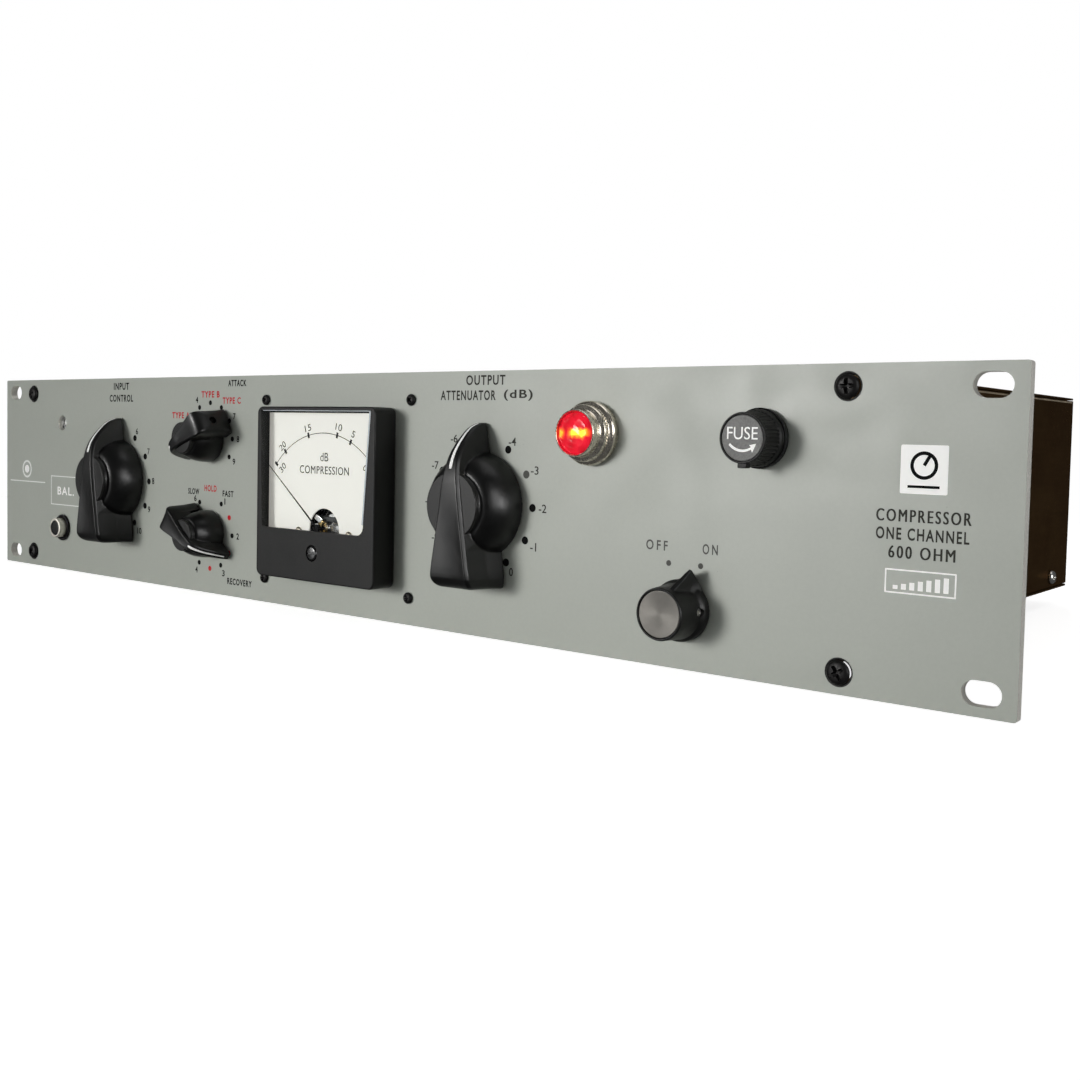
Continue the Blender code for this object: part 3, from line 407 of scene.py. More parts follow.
class Look:
    """A node material built step by step round one Principled shader."""

    def __init__(self, name, colour, roughness, metallic=0.0, **extra):
        self.material = bpy.data.materials.new(name)
        self.material.use_nodes = True
        self.tree = self.material.node_tree
        self.shader = self.tree.nodes["Principled BSDF"]
        self.output = self.tree.nodes["Material Output"]
        self.shader.inputs["Base Color"].default_value = (*colour, 1.0)
        self.shader.inputs["Roughness"].default_value = roughness
        self.shader.inputs["Metallic"].default_value = metallic
        for key, value in extra.items():
            self.shader.inputs[key.replace("_", " ")].default_value = value
        self.material.diffuse_color = (*colour, 1.0)
        self.colour = None
        self.rough = None
        self.bump = None
        self.base = colour
        self.base_rough = roughness
        self.coords = self.node("ShaderNodeTexCoord").outputs["Object"]

    def node(self, kind, **values):
        """A new node; values go to its inputs, or else to its properties."""
        made = self.tree.nodes.new(kind)
        for key, value in values.items():
            if key.replace("_", " ") in made.inputs:
                self.wire(value, made.inputs[key.replace("_", " ")])
            else:
                setattr(made, key, value)
        return made

    def wire(self, source, target):
        """Link an output to an input, or set the input to a plain value."""
        if isinstance(source, bpy.types.NodeSocket):
            self.tree.links.new(source, target)
        else:
            target.default_value = source

    def mapped(self, scale=(1.0, 1.0, 1.0), centre=(0.0, 0.0, 0.0)):
        """The object's coordinates, stretched by scale or counted from centre."""
        mapping = self.node("ShaderNodeMapping", Vector=self.coords, Scale=scale, Location=-Vector(centre))
        return mapping.outputs["Vector"]

    def glow(self, colour, strength):
        self.shader.inputs["Emission Color"].default_value = (*colour, 1.0)
        self.shader.inputs["Emission Strength"].default_value = strength

    def noise(self, size_mm, detail=3.0, roughness=0.5, stretch=(1.0, 1.0, 1.0), distortion=0.0):
        """Noise whose features are about size_mm, as a 0 to 1 output."""
        made = self.node("ShaderNodeTexNoise", Detail=detail, Roughness=roughness, Distortion=distortion)
        self.wire(1000.0 / size_mm, made.inputs["Scale"])
        self.wire(self.mapped(stretch), made.inputs["Vector"])
        return made.outputs["Fac"]

    def cells(self, size_mm, feature="F1"):
        made = self.node(
            "ShaderNodeTexVoronoi", feature=feature, Scale=1000.0 / size_mm, Vector=self.mapped()
        )
        return made.outputs["Distance"]

    def ramp(self, source, low, high, start=0.0, end=1.0):
        """Map source from low..high to start..end, clamped."""
        made = self.node("ShaderNodeMapRange", clamp=True, Value=source, From_Min=low, From_Max=high)
        self.wire(start, made.inputs["To Min"])
        self.wire(end, made.inputs["To Max"])
        return made.outputs["Result"]

    def math(self, operation, a, b=None):
        made = self.node("ShaderNodeMath", operation=operation)
        for value, socket in zip((a, b), made.inputs):
            if value is not None:
                self.wire(value, socket)
        return made.outputs[0]

    def joined(self, kind, *sources):
        """A node that mixes or adds shaders, its inputs in order."""
        made = self.node(kind)
        for source, target in zip(sources, made.inputs):
            self.wire(source, target)
        return made.outputs[0]

    def surface(self, share, first, second):
        """The surface as a mix of two shaders."""
        self.wire(self.joined("ShaderNodeMixShader", share, first, second), self.output.inputs["Surface"])

    def tint(self, mask, colour):
        """Blend the base colour towards another by a mask."""
        mix = self.node("ShaderNodeMix", data_type="RGBA")
        before = (*self.base, 1.0) if self.colour is None else self.colour
        for index, value in ((0, mask), (6, before), (7, (*colour, 1.0))):
            self.wire(value, mix.inputs[index])
        self.colour = mix.outputs[2]
        self.wire(self.colour, self.shader.inputs["Base Color"])

    def field(self, source, *rest):
        """An output as it is, or else noise made with these arguments."""
        return source if isinstance(source, bpy.types.NodeSocket) else self.noise(source, *rest)

    def shade(self, amount, *field):
        """Lighten and darken the colour round its own value, by amount."""
        factor = self.ramp(self.field(*field), 0.3, 0.7, 1.0 - amount, 1.0 + amount)
        mix = self.node("ShaderNodeVectorMath", operation="SCALE")
        self.wire(self.base if self.colour is None else self.colour, mix.inputs[0])
        self.wire(factor, mix.inputs["Scale"])
        self.colour = mix.outputs[0]
        self.wire(self.colour, self.shader.inputs["Base Color"])

    def gloss(self, amount, *field):
        """Vary the roughness round its base, by amount."""
        spread = self.ramp(self.field(*field), 0.3, 0.7, -amount, amount)
        before = self.base_rough if self.rough is None else self.rough
        self.rough = self.math("ADD", spread, before)
        self.wire(self.rough, self.shader.inputs["Roughness"])

    def relief(self, depth_mm, *field):
        """Raise and lower the surface by depth_mm, on top of any relief so far."""
        made = self.node("ShaderNodeBump", Strength=1.0, Distance=depth_mm * MM, Height=self.field(*field))
        if self.bump is not None:
            self.wire(self.bump, made.inputs["Normal"])
        self.bump = made.outputs["Normal"]
        self.wire(self.bump, self.shader.inputs["Normal"])

    def edges(self, radius_mm):
        """A mask of worn edges, broken up by noise."""
        bevel = self.node("ShaderNodeBevel", samples=4, Radius=radius_mm * MM)
        geometry = self.node("ShaderNodeNewGeometry")
        dot = self.node("ShaderNodeVectorMath", operation="DOT_PRODUCT")
        self.wire(bevel.outputs["Normal"], dot.inputs[0])
        self.wire(geometry.outputs["Normal"], dot.inputs[1])
        away = self.math("SUBTRACT", 1.0, dot.outputs["Value"])
        worn = self.ramp(away, 0.02, 0.12)
        patchy = self.ramp(self.noise(2.0, 4.0), 0.42, 0.62)
        return self.math("MULTIPLY", worn, patchy)


def specks(look, size_mm, share, wide=0.05):
    """A mask of the middles of cells, as fine dust or pinholes."""
    return look.math("MULTIPLY", look.ramp(look.cells(size_mm), 0.0, wide, 1.0, 0.0), share)


def enamel():
    look = Look("panel_enamel", (0.430, 0.455, 0.408), 0.40, 0.0, Specular_IOR_Level=0.55)
    look.shade(0.018, 60.0, 3.0)
    look.shade(0.014, 0.9, 2.0)
    look.tint(specks(look, 9.0, 0.35, 0.035), (0.22, 0.22, 0.20))
    look.gloss(0.05, 14.0, 4.0)
    look.relief(0.010, 1.6, 2.0)
    look.relief(0.0025, 0.28, 2.0)
    return look.material


def bare_edge_glow():
    look = Look("bare_edge_glow", (0.72, 0.70, 0.64), 0.42, 0.3)
    # The glow is painted light: it brightens the bare rim and the hole walls as if a lamp lit them from the
    # side
    look.glow((0.70, 0.72, 0.70), 0.07)
    look.shade(0.12, 0.5, 3.0, 0.5, (0.08, 1.0, 1.0))
    look.gloss(0.08, 2.5, 4.0)
    look.relief(0.01, 0.3, 3.0, 0.6, (0.06, 1.0, 1.0))
    return look.material


def bare_back():
    look = Look("panel_back", (0.52, 0.52, 0.50), 0.38, 0.85)
    look.shade(0.10, 1.2, 3.0, 0.5, (0.02, 1.0, 1.0))
    look.gloss(0.07, 30.0, 4.0)
    look.relief(0.012, 0.5, 3.0, 0.6, (0.02, 1.0, 1.0))
    return look.material


def black_oxide():
    look = Look("black_oxide", (0.012, 0.0115, 0.0115), 0.42, 0.5, Specular_IOR_Level=0.25)
    look.shade(0.3, 1.5, 4.0)
    look.tint(look.math("MULTIPLY", look.edges(0.14), 0.40), (0.34, 0.33, 0.31))
    look.gloss(0.10, 0.8, 3.0)
    look.relief(0.006, 0.25, 3.0)
    return look.material


def bronze():
    """Dark passivated steel: brown-black with a brassy sheen that wanders over the sheet."""
    look = Look("bronze_steel", (0.075, 0.048, 0.023), 0.36, 0.85)
    look.shader.inputs["Specular Tint"].default_value = (0.55, 0.38, 0.22, 1.0)
    look.tint(look.ramp(look.noise(85.0, 3.0, 0.5), 0.38, 0.68, 0.0, 0.60), (0.155, 0.098, 0.044))
    stains = look.ramp(look.noise(26.0, 5.0, 0.62, distortion=1.2), 0.50, 0.72, 0.0, 0.22)
    look.tint(stains, (0.045, 0.027, 0.014))
    look.shade(0.10, 1.6, 4.0, 0.6, (1.0, 0.06, 1.0))
    scratches = look.ramp(look.noise(7.0, 2.0, 0.6, (1.0, 0.08, 2.5)), 0.63, 0.70)
    look.tint(look.math("MULTIPLY", scratches, 0.06), (0.22, 0.15, 0.08))
    look.gloss(0.12, 24.0, 5.0, 0.6)
    look.gloss(0.03, 2.0, 3.0, 0.6, (1.0, 0.08, 1.0))
    look.relief(0.006, 0.6, 3.0, 0.6, (1.0, 0.05, 1.0))
    look.relief(0.12, 35.0, 2.0)
    return look.material


def bakelite():
    look = Look("bakelite", (0.0032, 0.0032, 0.0032), 0.34, 0.0, Specular_IOR_Level=0.38)
    look.shade(0.25, 5.0, 4.0)
    look.tint(specks(look, 2.2, 0.25), (0.10, 0.10, 0.10))
    look.tint(look.math("MULTIPLY", look.edges(0.25), 0.10), (0.10, 0.10, 0.10))
    look.gloss(0.06, 3.0, 5.0, 0.6)
    look.relief(0.005, 0.5, 3.0)
    look.relief(0.020, 4.0, 2.0)
    return look.material


def satin_black(name, grey, roughness, grain=0.22, depth=0.010, shine=0.35):
    look = Look(name, (grey, grey, grey * 0.97), roughness, 0.0, Specular_IOR_Level=shine)
    look.shade(0.18, grain * 2.2, 3.0)
    look.gloss(0.06, 4.0, 4.0)
    look.tint(look.math("MULTIPLY", look.edges(0.2), 0.14), (0.16, 0.16, 0.15))
    look.relief(depth, grain, 2.0)
    return look.material


def paint(name, colour, roughness=0.5, shine=0.5, glow=0.0):
    look = Look(name, colour, roughness, Specular_IOR_Level=shine)
    look.glow(colour, glow)
    look.shade(0.04, 0.35, 3.0)
    look.gloss(0.08, 0.6, 3.0)
    look.relief(0.004, 0.15, 2.0)
    return look.material


def metal(name, colour, roughness, wear=0.08, brush=(1.0, 1.0, 1.0)):
    look = Look(name, colour, roughness, 1.0)
    look.shade(wear, 0.4, 3.0, 0.6, brush)
    look.tint(look.ramp(look.noise(3.5, 5.0, 0.6), 0.56, 0.74, 0.0, 0.35), tuple(c * 0.55 for c in colour))
    look.gloss(roughness * 0.35, 1.8, 4.0)
    look.relief(0.005, 0.4, 3.0, 0.6, brush)
    return look.material


def about(look, place, height=0.0):
    """Coordinates counted from a place in the FRONT frame."""
    return look.mapped(centre=(FRONT @ Vector((*place, height))) * MM)


def turned_metal(name, colour, roughness, place):
    """Metal with fine lathe rings about an axis through place in the FRONT frame."""
    look = Look(name, colour, roughness, 1.0)
    flat = look.node("ShaderNodeVectorMath", operation="MULTIPLY")
    flat.inputs[1].default_value = (1.0, 0.0, 1.0)
    look.wire(about(look, place), flat.inputs[0])
    length = look.node("ShaderNodeVectorMath", operation="LENGTH")
    look.wire(flat.outputs[0], length.inputs[0])
    wave = look.math("SINE", look.math("MULTIPLY", length.outputs["Value"], math.tau / (LATHE_PITCH * MM)))
    look.shade(0.07, look.ramp(wave, -1.0, 1.0, 0.3, 0.7))
    look.relief(0.006, wave)
    look.shade(0.08, 2.0, 4.0)
    look.gloss(roughness * 0.35, 1.6, 4.0)
    return look.material


def spun_disc():
    """Grey insert whose satin finish was spun, so its shine fans out from the middle."""
    look = Look("power_disc", (0.125, 0.118, 0.106), 0.42, 0.45, Anisotropic=0.45)
    around = look.node("ShaderNodeVectorMath", operation="CROSS_PRODUCT")
    around.inputs[1].default_value = (0.0, 1.0, 0.0)
    look.wire(about(look, POWER), around.inputs[0])
    unit = look.node("ShaderNodeVectorMath", operation="NORMALIZE")
    look.wire(around.outputs[0], unit.inputs[0])
    look.wire(unit.outputs[0], look.shader.inputs["Tangent"])
    look.shade(0.10, 4.0, 3.0)
    look.gloss(0.05, 1.2, 3.0)
    look.relief(0.003, 0.25, 2.0)
    return look.material


def outer_share(look, share):
    """The share of a reflection on the outer side of a pane, none on its inner side."""
    geometry = look.node("ShaderNodeNewGeometry")
    return look.math("MULTIPLY", share, look.math("SUBTRACT", 1.0, geometry.outputs["Backfacing"]))


def clear_glass():
    """Thin clear window: see-through with a fresnel reflection and faint smears."""
    look = Look("meter_window", (0.9, 0.95, 1.0), 0.04)
    through = look.node("ShaderNodeBsdfTransparent", Color=(0.975, 0.985, 0.985, 1.0))
    shine = look.node("ShaderNodeBsdfGlossy", Color=(0.95, 0.98, 1.0, 1.0))
    look.wire(look.ramp(look.noise(9.0, 4.0), 0.35, 0.75, 0.02, 0.12), shine.inputs["Roughness"])
    fresnel = look.node("ShaderNodeFresnel", IOR=1.35)
    share = look.math("ADD", fresnel.outputs["Fac"], look.ramp(look.noise(14.0, 5.0), 0.45, 0.8, 0.0, 0.02))
    share = look.math("MULTIPLY", outer_share(look, share), PANE_SHINE)
    look.surface(share, through.outputs[0], shine.outputs[0])
    return look.material


def dial_paper_glow():
    look = Look("dial_face_glow", (0.90, 0.875, 0.825), 0.6, Specular_IOR_Level=0.2)
    # The glow is painted light: it brightens the dial as if a lamp behind it lit it, though no such lamp is
    # made
    look.glow((1.0, 0.95, 0.87), 0.27)
    look.shade(0.018, 18.0, 3.0)
    look.shade(0.02, 0.5, 2.0)
    look.gloss(0.05, 2.0, 3.0)
    look.relief(0.006, 0.4, 3.0)
    return look.material


def red_lens():
    """Faceted red lens lit from behind, with the filament's warm band across it."""
    look = Look("red_lens", (0.75, 0.012, 0.020), 0.16, 0.0, Specular_IOR_Level=0.25)
    split = look.node("ShaderNodeSeparateXYZ", Vector=about(look, LAMP, 8.0))
    across = split.outputs["X"]
    up = split.outputs["Z"]
    broken = look.noise(2.4, 3.0, 0.6)
    tear = look.math("MULTIPLY", look.math("SUBTRACT", broken, 0.5), 0.0034)
    ragged = look.math("ADD", look.math("ABSOLUTE", up), tear)
    band = look.ramp(ragged, 0.0006, 0.0017, 1.0, 0.0)
    left = look.math("ABSOLUTE", look.math("ADD", across, 0.0045))
    right = look.math("ABSOLUTE", look.math("SUBTRACT", across, 0.0020))
    left = look.math("MULTIPLY", look.ramp(left, 0.0006, 0.0020, 1.0, 0.0), 0.75)
    lobes = look.math("MAXIMUM", left, look.ramp(right, 0.0020, 0.0042, 1.0, 0.0))
    hot = look.math("MULTIPLY", band, lobes)
    heat = look.node("ShaderNodeValToRGB", Fac=hot)
    stops = heat.color_ramp.elements
    stops[0].color = (0.86, 0.014, 0.048, 1.0)
    stops[1].color = (1.0, 0.82, 0.04, 1.0)
    stops.new(0.45).color = (1.0, 0.25, 0.02, 1.0)
    look.wire(heat.outputs["Color"], look.shader.inputs["Emission Color"])
    facets = look.ramp(look.cells(3.4), 0.1, 0.8, 0.35, 1.0)
    strength = look.math("ADD", look.math("MULTIPLY", facets, 0.55), look.math("MULTIPLY", hot, 1.0))
    look.wire(strength, look.shader.inputs["Emission Strength"])
    look.relief(0.5, look.cells(3.4))
    look.gloss(0.04, 2.0, 3.0)
    return look.material


def glow_glass():
    look = Look("lamp_glass", (0.95, 0.72, 0.35), 0.10)
    look.glow((1.0, 0.55, 0.18), 2.0)
    look.shade(0.1, 1.5, 2.0)
    look.relief(0.02, 1.0, 2.0)
    return look.material


def valve_glass():
    look = Look("valve_glass", (0.80, 0.84, 0.86), 0.06)
    through = look.node("ShaderNodeBsdfTransparent", Color=(0.90, 0.93, 0.93, 1.0))
    fresnel = look.node("ShaderNodeFresnel", IOR=1.5)
    share = look.math("ADD", fresnel.outputs["Fac"], look.ramp(look.noise(6.0), 0.4, 0.8, 0.02, 0.14))
    look.surface(outer_share(look, share), through.outputs[0], look.shader.outputs[0])
    return look.material


def laminations():
    look = Look("laminations", (0.10, 0.10, 0.11), 0.45, 0.6)
    wave = look.node("ShaderNodeTexWave", bands_direction="Y", Scale=1000.0 / 3.2, Vector=look.coords)
    look.shade(0.35, wave.outputs["Fac"])
    look.shade(0.25, 6.0, 4.0)
    look.gloss(0.12, 5.0, 4.0)
    look.relief(0.08, wave.outputs["Fac"])
    return look.material


def circuit_green():
    look = Look("board", (0.035, 0.085, 0.045), 0.38)
    look.tint(look.ramp(look.cells(5.0, "DISTANCE_TO_EDGE"), 0.0, 0.10, 0.8, 0.0), (0.16, 0.24, 0.10))
    look.shade(0.15, 8.0, 3.0)
    look.gloss(0.08, 3.0, 3.0)
    look.relief(0.02, 0.6, 2.0)
    return look.material


ENAMEL = enamel()
BARE_EDGE_GLOW = bare_edge_glow()
PANEL_BACK = bare_back()
OXIDE = black_oxide()
SEAT = satin_black("screw_seat", 0.018, 0.6)
BRONZE = bronze()
# Beige metal for the strips that paint the highlight on the chassis walls' top edges
RIM_HIGHLIGHT = metal("rim_highlight", (0.80, 0.68, 0.50), 0.45)
BAKELITE = bakelite()
KNOB_DISC = satin_black("knob_disc", 0.010, 0.38, 0.18, 0.004, 0.32)
POWER_BLACK = satin_black("power_black", 0.005, 0.40, shine=0.28)
POWER_DISC = spun_disc()
CASE_BLACK = satin_black("meter_black", 0.0075, 0.40, 0.30, 0.006, 0.26)
FUSE_BLACK = satin_black("fuse_black", 0.007, 0.42, shine=0.25)
FUSE_FACE = satin_black("fuse_face", 0.150, 0.45, 0.25, 0.006)
# Both whites glow a little: painted light that makes them brighter than the lamps alone would
WHITE_PAINT_GLOW = paint("white_paint_glow", (0.94, 0.94, 0.92), 0.4, glow=0.14)
FADED_PAINT_GLOW = paint("faded_paint_glow", (0.82, 0.84, 0.81), glow=0.05)
INK_BLACK = paint("ink_black", (0.006, 0.006, 0.006), 0.8, 0.08)
INK_GREY = paint("ink_grey", (0.048, 0.047, 0.042), 0.8, 0.1)
INK_SOFT = paint("ink_soft", (0.105, 0.105, 0.098), 0.8, 0.1)
INK_RED = paint("ink_red", (0.58, 0.022, 0.028), 0.7, 0.15)
WINDOW = clear_glass()
# Pale colour for the strips that paint the highlight on the window pane's edges
PANE_HIGHLIGHT = paint("pane_highlight", (0.66, 0.70, 0.74), 0.3)
DIAL_GLOW = dial_paper_glow()
DIAL_INK = paint("dial_ink", (0.022, 0.022, 0.022), 0.7, 0.1)
NEEDLE = satin_black("needle_black", 0.006, 0.6, 0.2, 0.002, 0.05)
NICKEL_DULL = metal("dull_nickel", (0.50, 0.44, 0.36), 0.3)
SLEEVE = metal("button_sleeve", (0.80, 0.77, 0.70), 0.42)
BRASS = metal("brass", (0.72, 0.52, 0.22), 0.24)
NICKEL = turned_metal("nickel", (0.78, 0.72, 0.62), 0.24, LAMP)
SILVER = metal("silver_metal", (0.72, 0.71, 0.69), 0.22)
STEEL = turned_metal("steel_shaft", (0.62, 0.62, 0.60), 0.26, TRIMMER)
DARK_STEEL = metal("dark_steel", (0.12, 0.12, 0.12), 0.24)
ZINC = metal("zinc", (0.66, 0.65, 0.62), 0.28)
LENS = red_lens()
COIL_DARK = satin_black("coil_varnish", 0.03, 0.45, 0.3, 0.02)
SWITCH_BROWN = satin_black("switch_wafer", 0.16, 0.5, 0.5, 0.02)
BULB = glow_glass()
VALVE = valve_glass()
CORE = laminations()
CAN = metal("aluminium_can", (0.70, 0.70, 0.71), 0.24, 0.1, (1.0, 1.0, 0.03))
BOARD = circuit_green()
SHELL = satin_black("connector_shell", 0.020, 0.36, 0.35, 0.01)
FUSE_GLASS = valve_glass()


# ---------------------------------------------------------------- lettering


PRINT = 0.03  # how far ink stands off its ground


def letters(text, height, x, y, width, turn=0.0, weight=0.0, spacing=1.0, lift=(0.0, PRINT)):
    """Plain capitals or figures as a thin solid centred on (x, y), stretched to height and width."""
    if "M" in text and weight:
        # The font's M folds over itself when it is emboldened, so such a word is three thin ones side by side
        low, high = lift
        layers = []
        for i, aside in enumerate((-weight, 0.0, weight)):
            across = aside * math.cos(math.radians(turn))
            along = aside * math.sin(math.radians(turn))
            layer = (low, high + 0.004 * i)
            layers.append(letters(text, height, x + across, y + along, width, turn, 0.0, spacing, layer))
        return merged(*layers)
    curve = bpy.data.curves.new("text", "FONT")
    curve.body = text
    curve.size = height / 0.72
    curve.space_character = spacing
    curve.align_x = "CENTER"
    curve.offset = weight
    curve.extrude = (lift[1] - lift[0]) / 2
    curve.resolution_u = 4
    bm = skin_of(curve)
    xs = [v.co.x for v in bm.verts]
    ys = [v.co.y for v in bm.verts]
    scale = (width / (max(xs) - min(xs)), height / (max(ys) - min(ys)), 1.0, 1.0)
    middle = Vector(((max(xs) + min(xs)) / 2, (max(ys) + min(ys)) / 2, 0.0))
    bm.transform(
        shift(x, y, (lift[0] + lift[1]) / 2)
        @ spin(turn)
        @ Matrix.Diagonal(scale)
        @ Matrix.Translation(-middle)
    )
    return bm


def dot(x, y, radius):
    return lathe_at([(0.0, PRINT), (radius, PRINT), (radius, 0.0), (0.0, 0.0)], x, y, 28)


def lathe_at(profile, x, y, segments=96, ripple=None):
    return moved(lathe(profile, segments, ripple), x, y)


def frame_line(x0, x1, y0, y1, width):
    outer = rounded_rectangle(x0, x1, y0, y1, 0.2, 3)
    inner = rounded_rectangle(x0 + width, x1 - width, y0 + width, y1 - width, 0.05, 3)
    return plate([outer, inner], 0.0, PRINT)


def block(x0, x1, y0, y1, z0=0.0, z1=PRINT):
    return plate([[(x0, y0), (x1, y0), (x1, y1), (x0, y1)]], z0, z1)


def annulus(x, y, outer, inner, z0=0.0, z1=PRINT):
    return plate([arc(x, y, outer, 0, 357, 48), arc(x, y, inner, 0, 357, 48)], z0, z1)


def polar(centre, radius, angle):
    return (
        centre[0] + radius * math.cos(math.radians(angle)),
        centre[1] + radius * math.sin(math.radians(angle)),
    )


# Radii of the dots round the large and the small knobs
LARGE_DIAL = 21.2
SMALL_DIAL = 14.4


def panel_print():
    """Words, dial dots and figures, and the plain badges, grouped by colour."""
    black, grey, soft, red, white, faded = [], [], [], [], [], []

    def word(group, text, x0, x1, y, cap, weight=0.10, spacing=1.2):
        group.append(letters(text, cap, (x0 + x1) / 2, y, width=x1 - x0, weight=weight, spacing=spacing))

    word(black, "INPUT", -148.6, -136.9, 40.5, 3.1)
    word(black, "CONTROL", -151.8, -133.8, 35.3, 3.1)
    word(black, "ATTACK", -67.5, -56.0, 41.2, 2.6)
    word(black, "RECOVERY", -67.0, -51.5, -38.0, 2.6)
    word(black, "SLOW", -93.5, -86.0, -3.0, 2.5)
    word(black, "FAST", -70.5, -63.5, -3.0, 2.5)
    word(red, "HOLD", -82.5, -74.5, -1.3, 2.6)
    word(red, "TYPE B", -85.0, -73.0, 36.8, 2.6)
    word(red, "TYPE C", -71.0, -59.5, 34.3, 2.6)
    word(red, "TYPE A", -105.0, -93.0, 28.2, 2.6)
    word(grey, "OUTPUT", 60.0, 77.0, 41.0, 3.3)
    word(grey, "ATTENUATOR", 48.5, 73.0, 36.0, 3.3)
    word(grey, "(dB)", 76.5, 88.5, 36.0, 3.6)
    word(soft, "OFF", 133.0, 140.5, -8.3, 3.0, 0.07, 1.5)
    word(soft, "ON", 152.3, 157.3, -8.3, 3.0, 0.07, 1.5)
    word(grey, "COMPRESSOR", 204.0, 228.5, 4.8, 3.2, 0.10, 1.3)
    word(grey, "ONE CHANNEL", 204.0, 228.2, 0.1, 3.2, 0.10, 1.25)
    word(grey, "600 OHM", 207.6, 224.8, -4.6, 3.2, 0.10, 1.3)
    word(white, "BAL.", -195.0, -181.0, -7.6, 3.8, 0.09)

    # Input dial: eleven dots, the figures to the right of the knob shown by the pointer's side
    for i in range(11):
        black.append(dot(*polar(INPUT, LARGE_DIAL, -60 + 30 * i), 1.3))
    input_figures = {"6": (-130.7, 21.0), "7": (-122.0, 12.5), "8": (-118.5, 0.0), "9": (-121.4, -12.3)}
    input_figures["10"] = (-128.5, -22.0)
    for i, figure in enumerate(("5", "4", "3", "2", "1", "0")):
        input_figures[figure] = polar(INPUT, 25.0, 90 + 30 * i)
    for figure, spot in input_figures.items():
        width = 3.0 if figure == "10" else 1.6
        black.append(letters(figure, 2.7, *spot, width=width, weight=0.06))

    # Output dial
    for i in range(11):
        if i == 5:
            continue
        group = soft if i == 3 else black
        group.append(dot(*polar(OUTPUT, LARGE_DIAL, -60 + 30 * i), 1.3))
    output_figures = {"-4": (80.5, 21.0), "-3": (90.0, 12.0), "-2": (93.5, 0.0), "-1": (90.0, -12.5)}
    output_figures.update({"0": (81.0, -21.3), "-6": (55.0, 21.5), "-7": (46.5, 12.3)})
    output_figures.update({"-8": polar(OUTPUT, 24.5, 180), "-9": polar(OUTPUT, 24.5, 210)})
    output_figures["-10"] = polar(OUTPUT, 26.0, 240)
    for figure, spot in output_figures.items():
        width = 2.5 if figure == "-1" else {1: 1.6, 2: 3.1, 3: 4.4}[len(figure)]
        grey.append(letters(figure, 2.7, *spot, width=width, weight=0.03))

    # Attack and recovery dials
    attack = {120: "4", 30: "7", 0: "8", -30: "9"}
    for angle in range(-30, 150, 30):
        black.append(dot(*polar(ATTACK, SMALL_DIAL, angle), 1.0))
        if angle in attack:
            black.append(letters(attack[angle], 2.5, *polar(ATTACK, 18.0, angle), width=1.6, weight=0.07))
    recovery = {0: "2", -60: "3", -120: "4", 180: "5"}
    black.append(letters("1", 2.5, -69.0, -6.2, width=0.6, weight=0.03))
    black.append(letters("6", 2.5, -88.6, -5.8, width=1.6, weight=0.07))
    for i in range(12):
        angle = 30 * i - 180
        if angle == 90:
            continue
        group, radius = (red, 1.05) if angle % 60 else (black, 1.0)
        group.append(dot(*polar(RECOVERY, SMALL_DIAL - 0.1, angle), radius))
    for angle, figure in recovery.items():
        black.append(letters(figure, 2.5, *polar(RECOVERY, 17.9, angle), width=1.6, weight=0.07))
    soft.append(dot(141.0, -13.3, 0.85))
    soft.append(dot(151.8, -13.3, 0.85))

    # White marks: the balance box, a plain level-bars badge, a disc badge and a line
    faded.append(frame_line(-200.7, -172.0, -14.3, -0.7, 0.45))
    white.append(frame_line(206.8, 225.4, -15.3, -9.0, 0.40))
    for i in range(7):
        x = 209.0 + i * 2.2
        white.append(block(x, x + 1.3, -14.2, -13.2 + 0.48 * i))
    faded.append(annulus(-222.5, 1.6, 4.2, 3.3))
    white.append(dot(-222.5, 1.6, 1.9))
    faded.append(block(-238.0, -206.0, -4.6, -4.1))
    badge = plate([rounded_rectangle(210.0, 222.3, 10.5, 23.0, 0.4, 3)], 0.0, 0.10)
    ink = [annulus(216.15, 17.8, 3.6, 2.7, 0.1, 0.13)]
    ink.append(moved(boxes((-0.45, 0.45, 0.0, 3.0, 0.1, 0.13)), 216.15, 17.8, 0.0, -30.0))
    ink.append(block(212.0, 220.3, 12.0, 12.7, 0.1, 0.13))
    for name, parts, paint_used, slot in (
        ("print_black", black, INK_BLACK, "black_screw"),
        ("print_grey", grey, INK_GREY, "black_screw"),
        ("print_soft", soft, INK_SOFT, "black_screw"),
        ("print_red", red, INK_RED, "red_lens"),
        ("print_white", white, WHITE_PAINT_GLOW, "dial_white"),
        ("print_faded", faded, FADED_PAINT_GLOW, "dial_white"),
        ("badge_plate", [badge], WHITE_PAINT_GLOW, "dial_white"),
        ("badge_ink", ink, INK_BLACK, "black_screw"),
    ):
        piece(name, merged(*parts), paint_used, slot)


# ---------------------------------------------------------------- panel and its screws

SCREW_NODES = [f"panel_screw_{i}" for i in range(1, 5)]
METER_SCREW_NODES = [f"meter_screw_{i}" for i in range(1, 5)]
# Centres of the rack slots
SLOT_X = PANEL_W / 2 - 8.75
SLOT_Y = 38.1


def circle(cx, cy, radius, steps=64):
    return arc(cx, cy, radius, 0, 360 - 360 / steps, steps - 1)


def bare(spot):
    """True on the walls that show bare metal, with its painted glow: the panel's rim, its slots and the
    trimmer's hole.
    """
    x, y = spot.x / MM - ZERO.x, spot.z / MM - ZERO.z
    if abs(x) > SLOT_X - 8.0 or abs(y) > PANEL_H / 2 - 0.5:
        return True
    return math.hypot(x - TRIMMER[0], y - TRIMMER[1]) < 5.0


